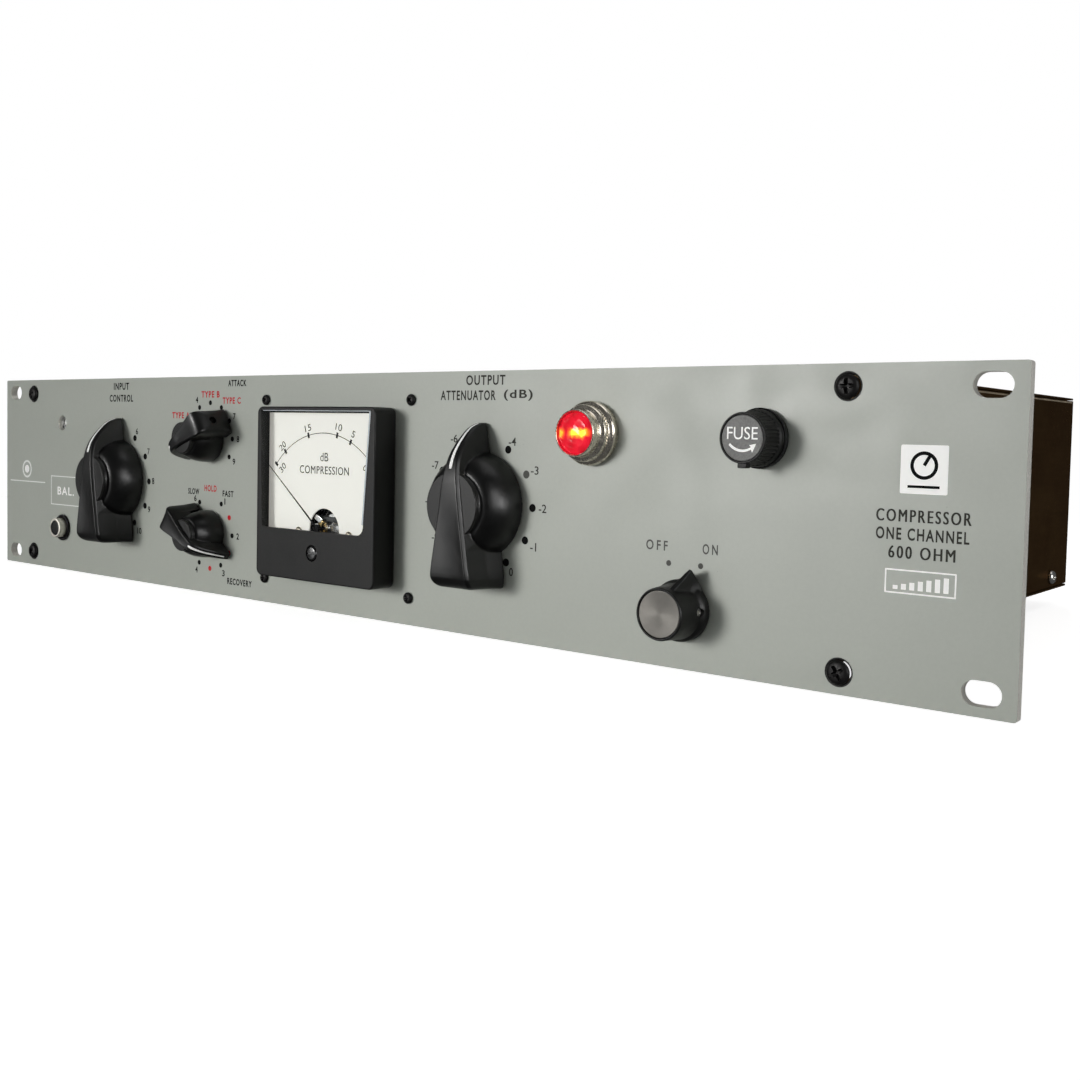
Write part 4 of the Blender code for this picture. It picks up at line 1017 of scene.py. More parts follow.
def panel():
    """The plate with all its holes: enamel in front, a back of its own, bare metal with a painted glow in the
    worn holes.
    """
    outline = rounded_rectangle(-PANEL_W / 2, PANEL_W / 2, -PANEL_H / 2, PANEL_H / 2, 0.8, 4)
    holes = [slot_outline(x, y, 10.0, 6.5) for x in (-SLOT_X, SLOT_X) for y in (-SLOT_Y, SLOT_Y)]
    holes += [circle(*panel_place(node), 3.95, 40) for node in SCREW_NODES]
    holes += [circle(*panel_place(node), 1.9, 28) for node in METER_SCREW_NODES]
    for spots, radius in (((INPUT, OUTPUT), 5.3), ((ATTACK, RECOVERY, POWER), 4.8)):
        holes += [circle(*spot, radius, 40) for spot in spots]
    for spot, radius in ((LAMP, 7.1), (FUSE, 6.5), (TRIMMER, 3.5), (BUTTON, 5.6)):
        holes.append(circle(*spot, radius, 48))
    holes.append(circle(*METER, 29.9, 96))
    bm = rounded(plate([outline, *holes], -PANEL_T, 0.0), 0.28, 3, 60.0)
    made = piece("panel_plate", bm, ENAMEL, "panel_enamel", ("front_panel",), 40.0)
    made.data.materials.append(PANEL_BACK)
    made.data.materials.append(BARE_EDGE_GLOW)
    for face in made.data.polygons:
        if face.normal.y > 0.9:
            face.material_index = 1
        elif abs(face.normal.y) < 0.3 and bare(face.center):
            face.material_index = 2


def cross(width, reach, scale=1.0):
    """Outline of a cross recess, its arms narrowing outwards."""
    root = width / 2 * scale
    tip = root * 0.82
    points = []
    for c, s in ((1, 0), (0, 1), (-1, 0), (0, -1)):
        for x, y in ((root, root), (tip, reach * scale), (-tip, reach * scale)):
            points.append((x * c - y * s, x * s + y * c))
    return points


def cross_cutter(width, reach, floor, top):
    """A Phillips point: a cross that shrinks as it goes in."""
    sections = []
    for z, scale in ((floor, 0.30), ((floor + top) / 2, 0.80), (top, 1.0), (top + 2.0, 1.04)):
        sections.append([(x, y, z) for x, y in cross(width, reach, scale)])
    return loft(sections)


def pan_screw(name, place, where, radius, height, turn, material, slot):
    """A domed screw head with its recess, and the shank behind it."""
    profile = [
        (0.0, height),
        (radius * 0.35, height * 0.985),
        (radius * 0.62, height * 0.93),
        (radius * 0.84, height * 0.76),
        (radius * 0.96, height * 0.48),
        (radius, height * 0.12),
        (radius * 0.98, 0.02),
        (radius * 0.55, 0.0),
        (radius * 0.52, -height * 2.2),
        (0.0, -height * 2.2),
    ]
    head = turned(profile, 56, 0.12, 2)
    tool = cross_cutter(radius * 0.40, radius * 0.66, height * 0.06, height)
    bm = carved(head, tool)
    moved(bm, *place, turn=turn)
    piece(name, bm, material, slot, (name.replace("_look", ""),), where=where)


def panel_screws():
    turns = (12.0, 48.0, 2.0, 32.0)
    for i, node in enumerate(SCREW_NODES):
        x, y = panel_place(node)
        pan_screw(node + "_look", (x, y, 0.2), FRONT, 3.35, 1.35, turns[i], OXIDE, "black_screw")
        ring = [(3.62, 0.0), (3.98, 0.06), (3.98, -0.9), (3.3, -1.0), (3.3, -0.6), (3.62, 0.0)]
        bm = lathe_at(ring, x, y, 56)
        piece(f"screw_seat_{i + 1}", bm, SEAT, "black_screw")
    for i, node in enumerate(METER_SCREW_NODES):
        x, y = panel_place(node)
        pan_screw(node + "_look", (x, y, 0.25), FRONT, 2.05, 1.1, turns[3 - i], OXIDE, "black_screw")


# ---------------------------------------------------------------- pointer knobs

KNOB_GAP = 0.5  # how far the knobs stand off the panel

LARGE = {
    "bar": (
        # reach, face half width, face height, side half width at the foot
        (-27.0, 4.4, 10.4, 9.2), (-26.7, 5.9, 12.4, 10.2), (-25.8, 7.0, 14.2, 10.7),
        (-24.2, 7.5, 15.6, 10.7), (-22.0, 7.5, 16.2, 10.5), (-14.0, 6.2, 16.3, 9.3),
        (-6.0, 4.9, 16.3, 7.7), (0.0, 4.0, 16.3, 6.5), (6.0, 3.2, 16.25, 5.5), (10.0, 2.65, 15.9, 4.8),
        (14.0, 2.1, 15.0, 4.1), (17.0, 1.75, 13.7, 3.6), (20.0, 1.45, 11.6, 3.1), (23.0, 1.2, 8.8, 2.6),
        (25.4, 1.0, 5.8, 2.2), (26.9, 0.9, 1.8, 1.9),
    ),
    "dome": (
        (17.5, 0.0), (17.5, 1.4), (17.2, 3.9), (16.6, 6.3), (15.6, 8.5), (14.3, 10.4), (13.0, 11.7),
        (12.2, 12.2),
    ),
    "neck": ((11.6, 12.45), (10.9, 12.55), (10.45, 12.8), (10.4, 13.5)),
    "disc": (10.8, 13.9, 15.0),
    "cavity": ((8.6, 5.6), (3.3, 12.6)),
    "step": (0.75, 0.95),
    "dish": 0.5,
    "waist": 4.9,
    "voxel": 0.21,
    "line": (12.0, 26.7, 0.62),
    "grub": 9.5,
}
SMALL = {
    "bar": (
        (-14.75, 2.1, 9.3, 4.5), (-14.45, 3.2, 11.3, 5.2), (-13.7, 4.0, 13.3, 5.5),
        (-12.3, 4.45, 14.6, 5.5), (-10.2, 4.4, 15.1, 5.3), (-6.0, 3.5, 15.1, 4.6), (0.0, 2.3, 15.1, 3.7),
        (3.5, 1.95, 15.0, 3.4), (7.5, 1.45, 14.2, 2.8), (10.0, 1.25, 12.4, 2.4), (12.0, 1.1, 9.8, 2.1),
        (14.0, 1.0, 6.0, 1.9), (15.8, 0.85, 2.0, 1.5),
    ),
    "dome": ((9.6, 0.0), (9.6, 1.2), (9.4, 3.8), (8.9, 6.4), (8.1, 8.7), (7.2, 10.4), (6.8, 10.9)),
    "neck": ((6.5, 11.05), (6.2, 11.1), (5.9, 11.35), (5.85, 12.1)),
    "disc": (6.3, 12.5, 13.6),
    "cavity": ((6.7, 4.6), (3.3, 11.2)),
    "step": (0.45, 0.65),
    "dish": 0.3,
    "waist": 1.95,
    "voxel": 0.15,
    "line": (7.0, 15.6, 0.50),
    "grub": 7.6,
}


def smooth_rows(rows, steps):
    """Catmull-Rom curve through rows of numbers, steps points to a span."""
    result = []
    last = len(rows) - 1
    for i in range(last):
        before, here, there, after = rows[max(i - 1, 0)], rows[i], rows[i + 1], rows[min(i + 2, last)]
        for k in range(steps):
            t = k / steps
            row = []
            for a, b, c, d in zip(before, here, there, after):
                bend = (2 * a - 5 * b + 4 * c - d) * t**2 + (3 * b - a - 3 * c + d) * t**3
                row.append(0.5 * (2 * b + (c - a) * t + bend))
            result.append(tuple(row))
    result.append(tuple(rows[-1]))
    return result


def dish_depth(shape, face):
    """How far the bar's face is hollowed where its half width is face."""
    return shape["dish"] * min(1.0, max(0.0, (face / shape["waist"] - 0.8) * 2.5))


def ridge_height(shape, reach):
    """Height of the bar's front face along its middle."""
    bar = [
        (r, face, height - dish_depth(shape, face), foot)
        for r, face, height, foot in smooth_rows(shape["bar"], 3)
    ]
    for near, far in zip(bar, bar[1:]):
        if near[0] <= reach <= far[0]:
            t = (reach - near[0]) / (far[0] - near[0])
            return near[2] + (far[2] - near[2]) * t
    return bar[-1][2]


def knob_skin(shape):
    """Dome, neck and bar fused into one moulding, hollow underneath."""
    dome = list(reversed(smooth_rows(shape["dome"], 5)))
    neck = list(reversed(shape["neck"]))
    disc_r, disc_low, _ = shape["disc"]
    (nut_r, nut_h), (bore_r, bore_h) = shape["cavity"]
    profile = [(0.0, disc_low), (disc_r - 0.9, disc_low)] + neck + dome
    profile += [(nut_r, 0.0), (nut_r, nut_h), (bore_r, nut_h), (bore_r, bore_h), (0.0, bore_h)]
    body = lathe(profile, 128)
    ledge, drop = shape["step"]
    sections = []
    hollow = nut_r + 3.0
    for reach, face, height, foot in smooth_rows(shape["bar"], 3):
        low = nut_h + 1.2 if abs(reach) < hollow else 0.25
        mid = max(height - drop, low + 0.5)
        waist = low + (mid - low) * 0.45
        lean = face + ledge + (foot - face - ledge) * 0.42
        middle = height - dish_depth(shape, face)
        half = [(foot, low), (lean, waist), (face + ledge, mid), (face, height)]
        half += [(face * part, middle + (height - middle) * part**2) for part in (0.8, 0.6, 0.4, 0.2)]
        ring = [(reach, y, z) for y, z in half] + [(reach, 0.0, middle)]
        ring += [(reach, -y, z) for y, z in reversed(half)]
        sections.append(ring)
    return moulded(merged(body, loft(sections)), shape["voxel"], 3)


def knob_disc(shape):
    """The flat round face, its rim overhanging the neck, split by the bar."""
    disc_r, low, high = shape["disc"]
    inner = shape["cavity"][1][0] + 0.6
    profile = [
        (0.0, high), (disc_r - 0.25, high), (disc_r, high - 0.25), (disc_r, low + 0.1), (disc_r - 0.3, low),
        (inner, low), (inner, high - 0.3), (0.0, high - 0.3),
    ]
    return turned(profile, 128, 0.12, 2)


def knob_line(shape):
    """The white line inlaid along the ridge, from beside the disc to the tip."""
    start, end, half = shape["line"]
    sections = []
    steps = 26
    for i in range(steps + 1):
        reach = start + (end - start) * i / steps
        top = ridge_height(shape, reach) + 0.07
        wide = half * min(1.0, 0.7 + 4.0 * i / steps) * (1.0 - 0.45 * i / steps)
        low = top - 0.45
        sections.append([(reach, wide, low), (reach, wide, top), (reach, -wide, top), (reach, -wide, low)])
    return loft(sections)


def pointer_knobs():
    """Both sizes of chicken-head knob, each with its disc, its line and its grub screw."""
    for shape, users in (
        (LARGE, (("input", INPUT, INPUT_ANGLE), ("output", OUTPUT, OUTPUT_ANGLE))),
        (SMALL, (("attack", ATTACK, ATTACK_ANGLE), ("recovery", RECOVERY, RECOVERY_ANGLE))),
    ):
        skin = knob_skin(shape)
        reach = shape["bar"][0][0] - 1.0
        tool = rods((0.0, 0.0, 1.55, 0.0, 6.5), sides=28)
        tool.transform(shift(reach, 0.0, shape["grub"]) @ spin(90.0, "Y"))
        skin = carved(skin, tool)
        for name, spot, angle in users:
            place = FRONT @ shift(*spot, KNOB_GAP) @ spin(angle)
            put = partial(piece, where=place, body=name + "_control")
            put(name + "_knob_skin", skin.copy(), BAKELITE, "black_knob", (name + "_knob",), 60.0, even=False)
            put(name + "_knob_disc", knob_disc(shape), KNOB_DISC, "black_knob")
            put(name + "_knob_line", knob_line(shape), WHITE_PAINT_GLOW, "dial_white")
            grub = [(0.0, -0.4), (0.65, -0.4), (0.65, 0.6), (1.4, 0.6), (1.4, -3.0), (0.0, -3.0)]
            inner = place @ shift(reach + 4.2, 0.0, shape["grub"]) @ spin(-90.0, "Y")
            put(name + "_grub_screw", turned(grub, 32, 0.1), DARK_STEEL, "steel_shaft", where=inner)
        skin.free()


POWER_GRUB = -64.0  # where the grub screw sits, from the wing


def power_knob():
    """A round knob with a fin for a pointer, a spun disc in its face and a grub screw."""
    place = FRONT @ shift(*POWER, KNOB_GAP) @ spin(POWER_ANGLE)
    profile = [
        (0.0, 12.2), (6.85, 12.2), (6.9, 12.95), (7.35, 13.0), (7.6, 12.5), (8.2, 3.6), (8.9, 2.7),
        (9.1, 2.2), (9.1, 0.0), (6.6, 0.0), (6.6, 3.4), (3.4, 3.4), (3.4, 10.0), (0.0, 10.0),
    ]
    body = lathe(profile, 128)
    fin = (
        # reach, underside height, half widths at foot, at a third up and on the ridge, ridge height
        (2.0, 4.2, 7.2, 5.6, 1.2, 11.9), (5.0, 3.9, 6.6, 4.2, 0.9, 11.7), (7.2, 1.0, 5.2, 2.9, 0.75, 11.2),
        (8.6, 0.5, 3.9, 2.2, 0.68, 10.0), (10.2, 1.2, 2.6, 1.6, 0.60, 8.2),
        (12.0, 2.9, 1.4, 1.0, 0.50, 6.4), (13.5, 4.4, 0.45, 0.4, 0.32, 4.9),
    )
    sections = []
    for reach, low, foot, third, ridge, top in smooth_rows(fin, 3):
        mid = low + (top - low) * 0.38
        half = [(foot, low), (third, mid), (ridge, top)]
        sections.append([(reach, y, z) for y, z in half] + [(reach, -y, z) for y, z in reversed(half)])
    wing = loft(sections)
    skin = moulded(merged(body, wing), 0.16, 2)
    grub = rods((0.0, 0.0, 1.3, 0.0, 6.0), sides=24)
    grub.transform(spin(POWER_GRUB) @ shift(6.5, 0.0, 3.9) @ spin(90.0, "Y"))
    skin = carved(skin, grub)
    put = partial(piece, where=place, body="power_control")
    put("power_knob_skin", skin, POWER_BLACK, "power_knob", ("power_knob",), 50.0, even=False)
    dish = [(0.0, 12.5), (2.0, 12.51), (4.4, 12.56), (6.6, 12.65), (6.75, 12.6), (6.75, 12.05), (0.0, 12.05)]
    put("power_knob_disc", turned(dish, 96, 0.08, 2), POWER_DISC, "power_knob")
    screw = turned([(0.0, 0.0), (0.6, 0.0), (0.6, 0.8), (1.15, 0.8), (1.15, -2.4), (0.0, -2.4)], 28, 0.1)
    inner = place @ spin(POWER_GRUB) @ shift(7.1, 0.0, 3.9) @ spin(90.0, "Y")
    put("power_grub_screw", screw, ZINC, "zinc", where=inner)


# ---------------------------------------------------------------- meter


def window_outline(inset=0.0, top=30.6):
    right_top = 25.6 - inset
    right_low = 22.4 - inset
    left_top = -33.7 + inset
    left_low = -32.7 + inset
    top = top - inset
    low = -13.3 + inset
    radius = 3.4 - inset
    points = [(right_top, top), (left_top, top)]
    points += arc(left_low + 1.2, low + 1.2, 1.2, 180, 270, 4)
    points += arc(right_low - radius, low + radius, radius, 270, 352, 8)
    return points


def meter():
    """The meter's case, window, dial and print, then its needle and works."""
    low, high = box_mm("meter_case")
    cx, cy = METER
    half = (high.x - low.x) / 2
    proud = ZERO.y - low.y
    deep = high.y - ZERO.y
    shell = plate([rounded_rectangle(cx - half, cx + half, cy - half, cy + half, 2.6, 8)], 0.3, proud)
    shell = rounded(shell, 0.55, 3, 60.0)
    cavity = boxes((cx - half + 1.1, cx + half - 1.5, -18.0, cy + half - 1.1, 1.0, proud - 1.35))
    window = plate([window_outline()], proud - 3.0, proud + 2.0)
    eye = rods((*ZERO_SCREW, 3.05, proud - 4.0, proud + 2.0), sides=64)
    neck = rods((cx, cy, 28.6, -4.0, 3.0), sides=96)
    shell = carved(shell, cavity, window, eye, neck)
    piece("meter_shell", shell, CASE_BLACK, "meter_case", ("meter_case",), 35.0)
    barrel = [
        (29.2, 0.25), (29.2, -deep + 0.6), (28.6, -deep), (0.0, -deep), (0.0, -deep + 1.6),
        (27.6, -deep + 1.6), (27.6, 0.25), (29.2, 0.25),
    ]
    piece("meter_barrel", lathe_at(barrel, cx, cy, 96), CASE_BLACK, "meter_case")

    glass = plate([window_outline(0.12, top=30.95)], proud - 1.15, proud - 0.15)
    glass = rounded(glass, 0.1, 1, 60.0)
    piece("meter_pane", glass, WINDOW, "meter_window", ("meter_glass",), 30.0)
    # Light blue-grey strips along the right and the top of the opening are painted highlights for the light
    # that the pane's ground edges catch
    right = [(25.05, 30.2), (24.25, 30.2), (21.05, -9.5), (21.75, -9.5)]
    crest = block(-33.0, 24.6, 30.15, 30.4, proud - 0.9, proud - 0.5)
    edge = merged(plate([right], proud - 0.65, proud - 0.5), crest)
    piece("meter_pane_highlight", edge, PANE_HIGHLIGHT, "meter_window")

    face_h = ZERO.y - box_mm("meter_dial")[0].y
    left, right = cx - half + 1.7, cx + half - 2.2
    notch = circle(PIVOT[0] + 1.2, -13.2, 8.1, 64)
    paper = block(left, right, -15.5, 29.6, face_h - 0.5, face_h)
    dial = carved(paper, plate([notch], face_h - 2.0, face_h + 1.0))
    piece("meter_face", dial, DIAL_GLOW, "dial_white", ("meter_dial",))

    ink = []
    arc_centre = (-3.5, -12.5)
    scale_r = 34.8
    line = [polar(arc_centre, scale_r + 0.14, 90 + 50 - i * 1.25) for i in range(81)]
    line += [polar(arc_centre, scale_r - 0.14, 90 - 50 + i * 1.25) for i in range(81)]
    ink.append(plate([line], face_h, face_h + 0.02))
    for angle in (49.0, 37.5, 13.9, -11.8, -24.1, -47.0):
        x, y = polar(arc_centre, scale_r, 90 + angle)
        ink.append(moved(boxes((-0.50, 0.50, -1.05, 1.05, face_h, face_h + 0.025)), x, y, 0.0, angle))
    figures = (
        ("30", -26.2, 9.0, 46.0, 3.7),
        ("20", -26.4, 17.1, 40.0, 3.7),
        ("15", -12.2, 24.0, 14.0, 3.4),
        ("10", 4.5, 24.5, -12.0, 3.4),
        ("5", 12.1, 22.1, -24.0, 1.6),
        ("0", 18.4, 10.4, -47.0, 1.7),
    )
    lift = (face_h, face_h + 0.025)
    for text, x, y, angle, width in figures:
        ink.append(letters(text, 2.5, x, y, width=width, turn=angle, lift=lift))
    ink.append(letters("dB", 3.1, -3.1, 13.6, width=4.3, lift=lift))
    ink.append(letters("COMPRESSION", 2.9, -3.2, 8.8, width=26.5, weight=0.02, spacing=1.1, lift=lift))
    piece("meter_print", merged(*ink), DIAL_INK, "needle_black")
    meter_needle(face_h)
    meter_works(face_h, proud)


def meter_needle(face_h):
    """A tapering blade on its boss, with the tail and balance weights of a moving coil."""
    place = FRONT @ shift(*PIVOT) @ spin(NEEDLE_ANGLE)
    h = face_h + 2.3
    sections = []
    for reach, half, thick in ((1.2, 0.30, 0.15), (14.0, 0.21, 0.12), (35.0, 0.11, 0.08)):
        corners = ((half, -thick), (half, thick), (-half, thick), (-half, -thick))
        sections.append([(reach, y, h + z) for y, z in corners])
    blade = loft(sections)
    boss = turned([(0.0, h + 0.5), (1.3, h + 0.5), (1.5, h + 0.2), (1.5, h - 2.6), (0.0, h - 2.6)], 40, 0.15)
    tail = ((-4.6, -0.8, -0.45, 0.45, h - 0.2, h + 0.2), (-5.4, -4.2, -0.9, 0.9, h - 0.4, h + 0.3))
    skin = merged(blade, boss, boxes(*tail, bevel=0.12))
    put = partial(piece, where=place, body="meter_pointer")
    put("needle_blade", skin, NEEDLE, "needle_black", ("meter_needle",)).visible_shadow = False
    weights = []
    for side in (-1.0, 1.0):
        weight = turned([(0.0, 0.9), (0.75, 0.9), (0.75, -0.9), (0.0, -0.9)], 24, 0.12)
        weight.transform(shift(-0.6, side * 3.2, h - 0.6) @ spin(90.0, "X"))
        arm = boxes((-0.8, -0.4, *sorted((0.0, side * 3.4)), h - 0.8, h - 0.4), bevel=0.1)
        weights += [weight, arm]
    put("needle_weights", merged(*weights), BRASS, "brass")


def meter_works(face_h, proud):
    """What shows through the dial's mouth: magnet core, coil frame, hairspring and bridge."""
    px, py = PIVOT
    core = turned_at([(0.0, -1.0), (9.8, -1.0), (10.4, -1.6), (10.4, -25.5), (0.0, -25.5)], px, py, 72, 0.3)
    piece("meter_core", core, SILVER, "steel_shaft", ("meter_movement",))
    ring = [(11.6, -0.2), (14.4, -0.2), (14.4, -6.0), (11.6, -6.0), (11.6, -0.2)]
    piece("meter_yoke", turned_at(ring, px, py, 72, 0.25), DARK_STEEL, "steel_shaft")
    hood = [(8.3, face_h - 0.6), (8.9, face_h - 0.6), (8.9, -0.6), (8.3, -0.6), (8.3, face_h - 0.6)]
    piece("meter_well", lathe_at(hood, px + 1.2, -13.2, 72), DARK_STEEL, "steel_shaft")
    bridge = merged(
        boxes((px - 7.4, px + 7.4, py - 1.3, py + 1.3, 3.2, 4.2), bevel=0.25),
        turned_at([(0.0, 6.6), (0.8, 6.6), (2.1, 5.2), (2.4, 4.2), (0.0, 4.2)], px, py, 40, 0.2),
        *(boxes((px + x, px + x + 1.8, py - 1.2, py + 1.2, -1.0, 4.0), bevel=0.25) for x in (-7.4, 5.6)),
    )
    piece("meter_bridge", bridge, SILVER, "brass")
    spring = [(*polar(PIVOT, 1.4 + i * 0.017, i * 16.0), 5.6) for i in range(90)]
    piece("meter_hairspring", tube(spring, 0.07, 8), BRASS, "brass")
    plates = merged(
        moved(boxes((1.6, 6.4, 0.6, 4.6, 2.6, 3.2), bevel=0.2), px, py, 0.0, 12.0),
        moved(boxes((-6.8, -2.4, 0.2, 2.2, 4.2, 4.9), bevel=0.2), px, py, 0.0, -28.0),
    )
    piece("meter_plates", plates, SILVER, "brass")
    star = [polar((0.0, 0.0), 2.3 if k % 2 else 1.2, 36.0 * k) for k in range(10)]
    piece("meter_star", moved(rounded(plate([star], 6.0, 6.5), 0.1, 1), px, py), BRASS, "brass")
    coil = boxes((px - 5.4, px + 5.4, py + 1.8, py + 4.2, 0.0, 3.4), bevel=0.5)
    piece("meter_coil", coil, COIL_DARK, "brass")
    lugs = [pan_head(1.7, 0.8, x, -14.3, face_h + 0.05) for x in (-16.5, 10.5)]
    piece("meter_dial_screws", merged(*lugs), NICKEL_DULL, "brass")
    top = proud + 0.45
    profile = [
        (0.0, top), (2.1, top - 0.1), (2.65, top - 0.5), (2.75, top - 1.1), (2.75, proud - 2.4),
        (0.0, proud - 2.4),
    ]
    slot = boxes((-4.0, 4.0, -0.40, 0.40, proud - 0.6, proud + 3.0))
    bm = carved(turned(profile, 64, 0.15, 2), slot)
    moved(bm, *ZERO_SCREW, turn=4.0)
    piece("zero_screw_look", bm, DARK_STEEL, "meter_case", ("meter_zero_screw",), body="zero_adjuster")


def pan_head(radius, height, x, y, z):
    profile = [(0.0, height), (radius * 0.7, height * 0.9), (radius, height * 0.4), (radius, 0.0), (0.0, 0.0)]
    head = turned(profile, 40, 0.15, 2)
    slot = boxes((-radius * 1.2, radius * 1.2, -0.2, 0.2, height * 0.5, height * 2))
    return moved(carved(head, slot), x, y, z, 25.0)


# ---------------------------------------------------------------- lamp, fuse and balance fittings


def knurl(count, depth, low, high):
    """Radius change for straight knurling between two heights."""

    def ripple(angle, radius, z):
        if not low <= z <= high:
            return 0.0
        phase = (angle * count / math.tau) % 1.0
        return -depth * abs(phase * 2.0 - 1.0)

    return ripple


def lamp():
    """The knurled bezel and the faceted lens of the pilot lamp."""
    bezel = [
        (6.62, 9.2), (6.68, 9.7), (6.88, 9.85), (7.1, 9.7), (7.18, 9.3), (7.15, 6.6), (7.4, 6.1),
        (8.5, 5.7), (8.75, 5.0), (8.75, 4.1), (8.5, 3.7), (8.9, 3.4), (9.5, 3.1), (9.85, 2.6), (9.9, 1.9),
        (9.75, 0.5), (9.6, 0.3), (6.6, 0.3), (6.6, -4.6), (6.0, -4.6), (6.0, 5.4), (6.62, 5.4),
        (6.62, 9.2),
    ]
    bm = lathe_at(soften(bezel, 0.12, 2), *LAMP, 240, knurl(60, 0.28, 4.05, 5.05))
    piece("lamp_bezel_look", bm, NICKEL, "nickel", ("lamp_bezel",), 35.0)

    # The lens: a low dome cut into facets round a central one
    sides = 12
    rings = ((0.0, 10.75), (2.6, 10.6), (4.8, 10.1), (6.2, 9.3), (6.5, 8.5))
    bm = bmesh.new()
    loops = []
    for k, (radius, z) in enumerate(rings):
        if radius == 0.0:
            loops.append([bm.verts.new((0.0, 0.0, z))])
            continue
        offset = 0.5 if k % 2 else 0.0
        spots = [polar((0.0, 0.0), radius, (i + offset) * 360.0 / sides) for i in range(sides)]
        loops.append([bm.verts.new((x, y, z)) for x, y in spots])
    for i in range(sides):
        bm.faces.new((loops[0][0], loops[1][i], loops[1][(i + 1) % sides]))
    for k in range(1, len(loops) - 1):
        upper, lower = loops[k], loops[k + 1]
        for i in range(sides):
            j = (i + 1) % sides
            if k % 2:
                bm.faces.new((upper[i], lower[i], lower[j]))
                bm.faces.new((upper[i], lower[j], upper[j]))
            else:
                bm.faces.new((upper[i], lower[i], upper[j]))
                bm.faces.new((upper[j], lower[i], lower[j]))
    foot = [bm.verts.new((v.co.x, v.co.y, 5.9)) for v in loops[-1]]
    for i in range(sides):
        j = (i + 1) % sides
        bm.faces.new((loops[-1][i], foot[i], foot[j], loops[-1][j]))
    bm.faces.new(list(reversed(foot)))
    bmesh.ops.recalc_face_normals(bm, faces=bm.faces)
    piece("lamp_lens_look", moved(bm, *LAMP), LENS, "red_lens", ("lamp_lens",), 4.0)


def arrow_outline():
    """A curved arrow under the word, swinging up to the right."""
    outer = arc(0.0, 1.7, 5.5, 222, 300, 14)
    inner = arc(0.14, 1.98, 5.1, 300, 222, 14)
    tip = polar((0.0, 1.7), 5.3, 323)
    head_out = polar((0.0, 1.7), 6.4, 299)
    head_in = polar((0.0, 1.7), 4.2, 301)
    return outer + [head_out, tip, head_in] + inner


def fuse():
    """The bayonet cap with its sign, the holder's ring and body, and the cartridge."""
    place = FRONT @ shift(*FUSE)
    cap = [
        (0.0, 11.0), (6.35, 11.0), (6.42, 11.35), (6.85, 11.4), (7.05, 11.1), (7.1, 10.2), (6.8, 9.9),
        (6.85, 9.6), (7.45, 5.0), (7.6, 4.2), (7.75, 3.9), (7.95, 3.5), (7.95, 2.2), (4.1, 2.2),
        (4.1, -3.0), (0.0, -3.0),
    ]
    ring = knurl(52, 0.22, 10.15, 11.12)
    ribs = knurl(40, 0.34, 4.3, 9.65)

    def both(angle, radius, z):
        if radius < 6.6:
            return 0.0
        return ring(angle, radius, z) + ribs(angle, radius, z)

    bm = lathe(soften(cap, 0.12, 2), 240, both)
    lug = boxes((-1.4, 1.4, -8.2, -6.2, 8.6, 11.1), bevel=0.3)
    skin = merged(bm, lug)
    put = partial(piece, where=place, body="fuse_top")
    put("fuse_cap_look", skin, FUSE_BLACK, "fuse_black", ("fuse_cap",), 35.0)
    face = turned([(0.0, 11.2), (6.1, 11.2), (6.28, 11.1), (6.28, 10.9), (0.0, 10.9)], 96, 0.05, 2)
    put("fuse_cap_face", face, FUSE_FACE, "fuse_black")
    sign = merged(
        letters("FUSE", 3.4, 0.0, 1.3, width=9.3, lift=(11.2, 11.23)),
        plate([arrow_outline()], 11.2, 11.23),
    )
    put("fuse_cap_sign", sign, WHITE_PAINT_GLOW, "dial_white")
    holder = [
        (4.6, -31.0), (4.6, 1.9), (8.0, 1.9), (8.35, 1.6), (8.35, 0.3), (6.0, 0.3), (6.0, -3.5),
        (9.0, -3.5), (9.0, -6.5), (6.0, -6.5), (6.0, -33.5), (5.5, -34.0), (0.0, -34.0), (0.0, -31.0),
        (4.6, -31.0),
    ]
    piece("fuse_body", turned(holder, 96, 0.2, 2), FUSE_BLACK, "fuse_black", ("fuse_holder",), where=place)
    rim = [(8.1, 1.95), (8.45, 1.75), (8.45, 1.5), (8.1, 1.5), (8.1, 1.95)]
    piece("fuse_rim", lathe(rim, 96), DARK_STEEL, "steel_shaft", where=place)
    glass = turned([(0.0, -8.6), (2.9, -8.6), (2.9, -23.4), (0.0, -23.4)], 48, 0.2)
    put = partial(piece, where=place, body="fuse_carrier")
    put("fuse_tube", glass, FUSE_GLASS, "fuse_glass", ("fuse_cartridge",))
    ends = merged(
        turned([(0.0, -3.6), (3.0, -3.6), (3.2, -3.9), (3.2, -9.6), (0.0, -9.6)], 48, 0.2),
        turned([(0.0, -22.4), (3.2, -22.4), (3.2, -28.1), (3.0, -28.4), (0.0, -28.4)], 48, 0.2),
    )
    put("fuse_ends", ends, SILVER, "fuse_glass")


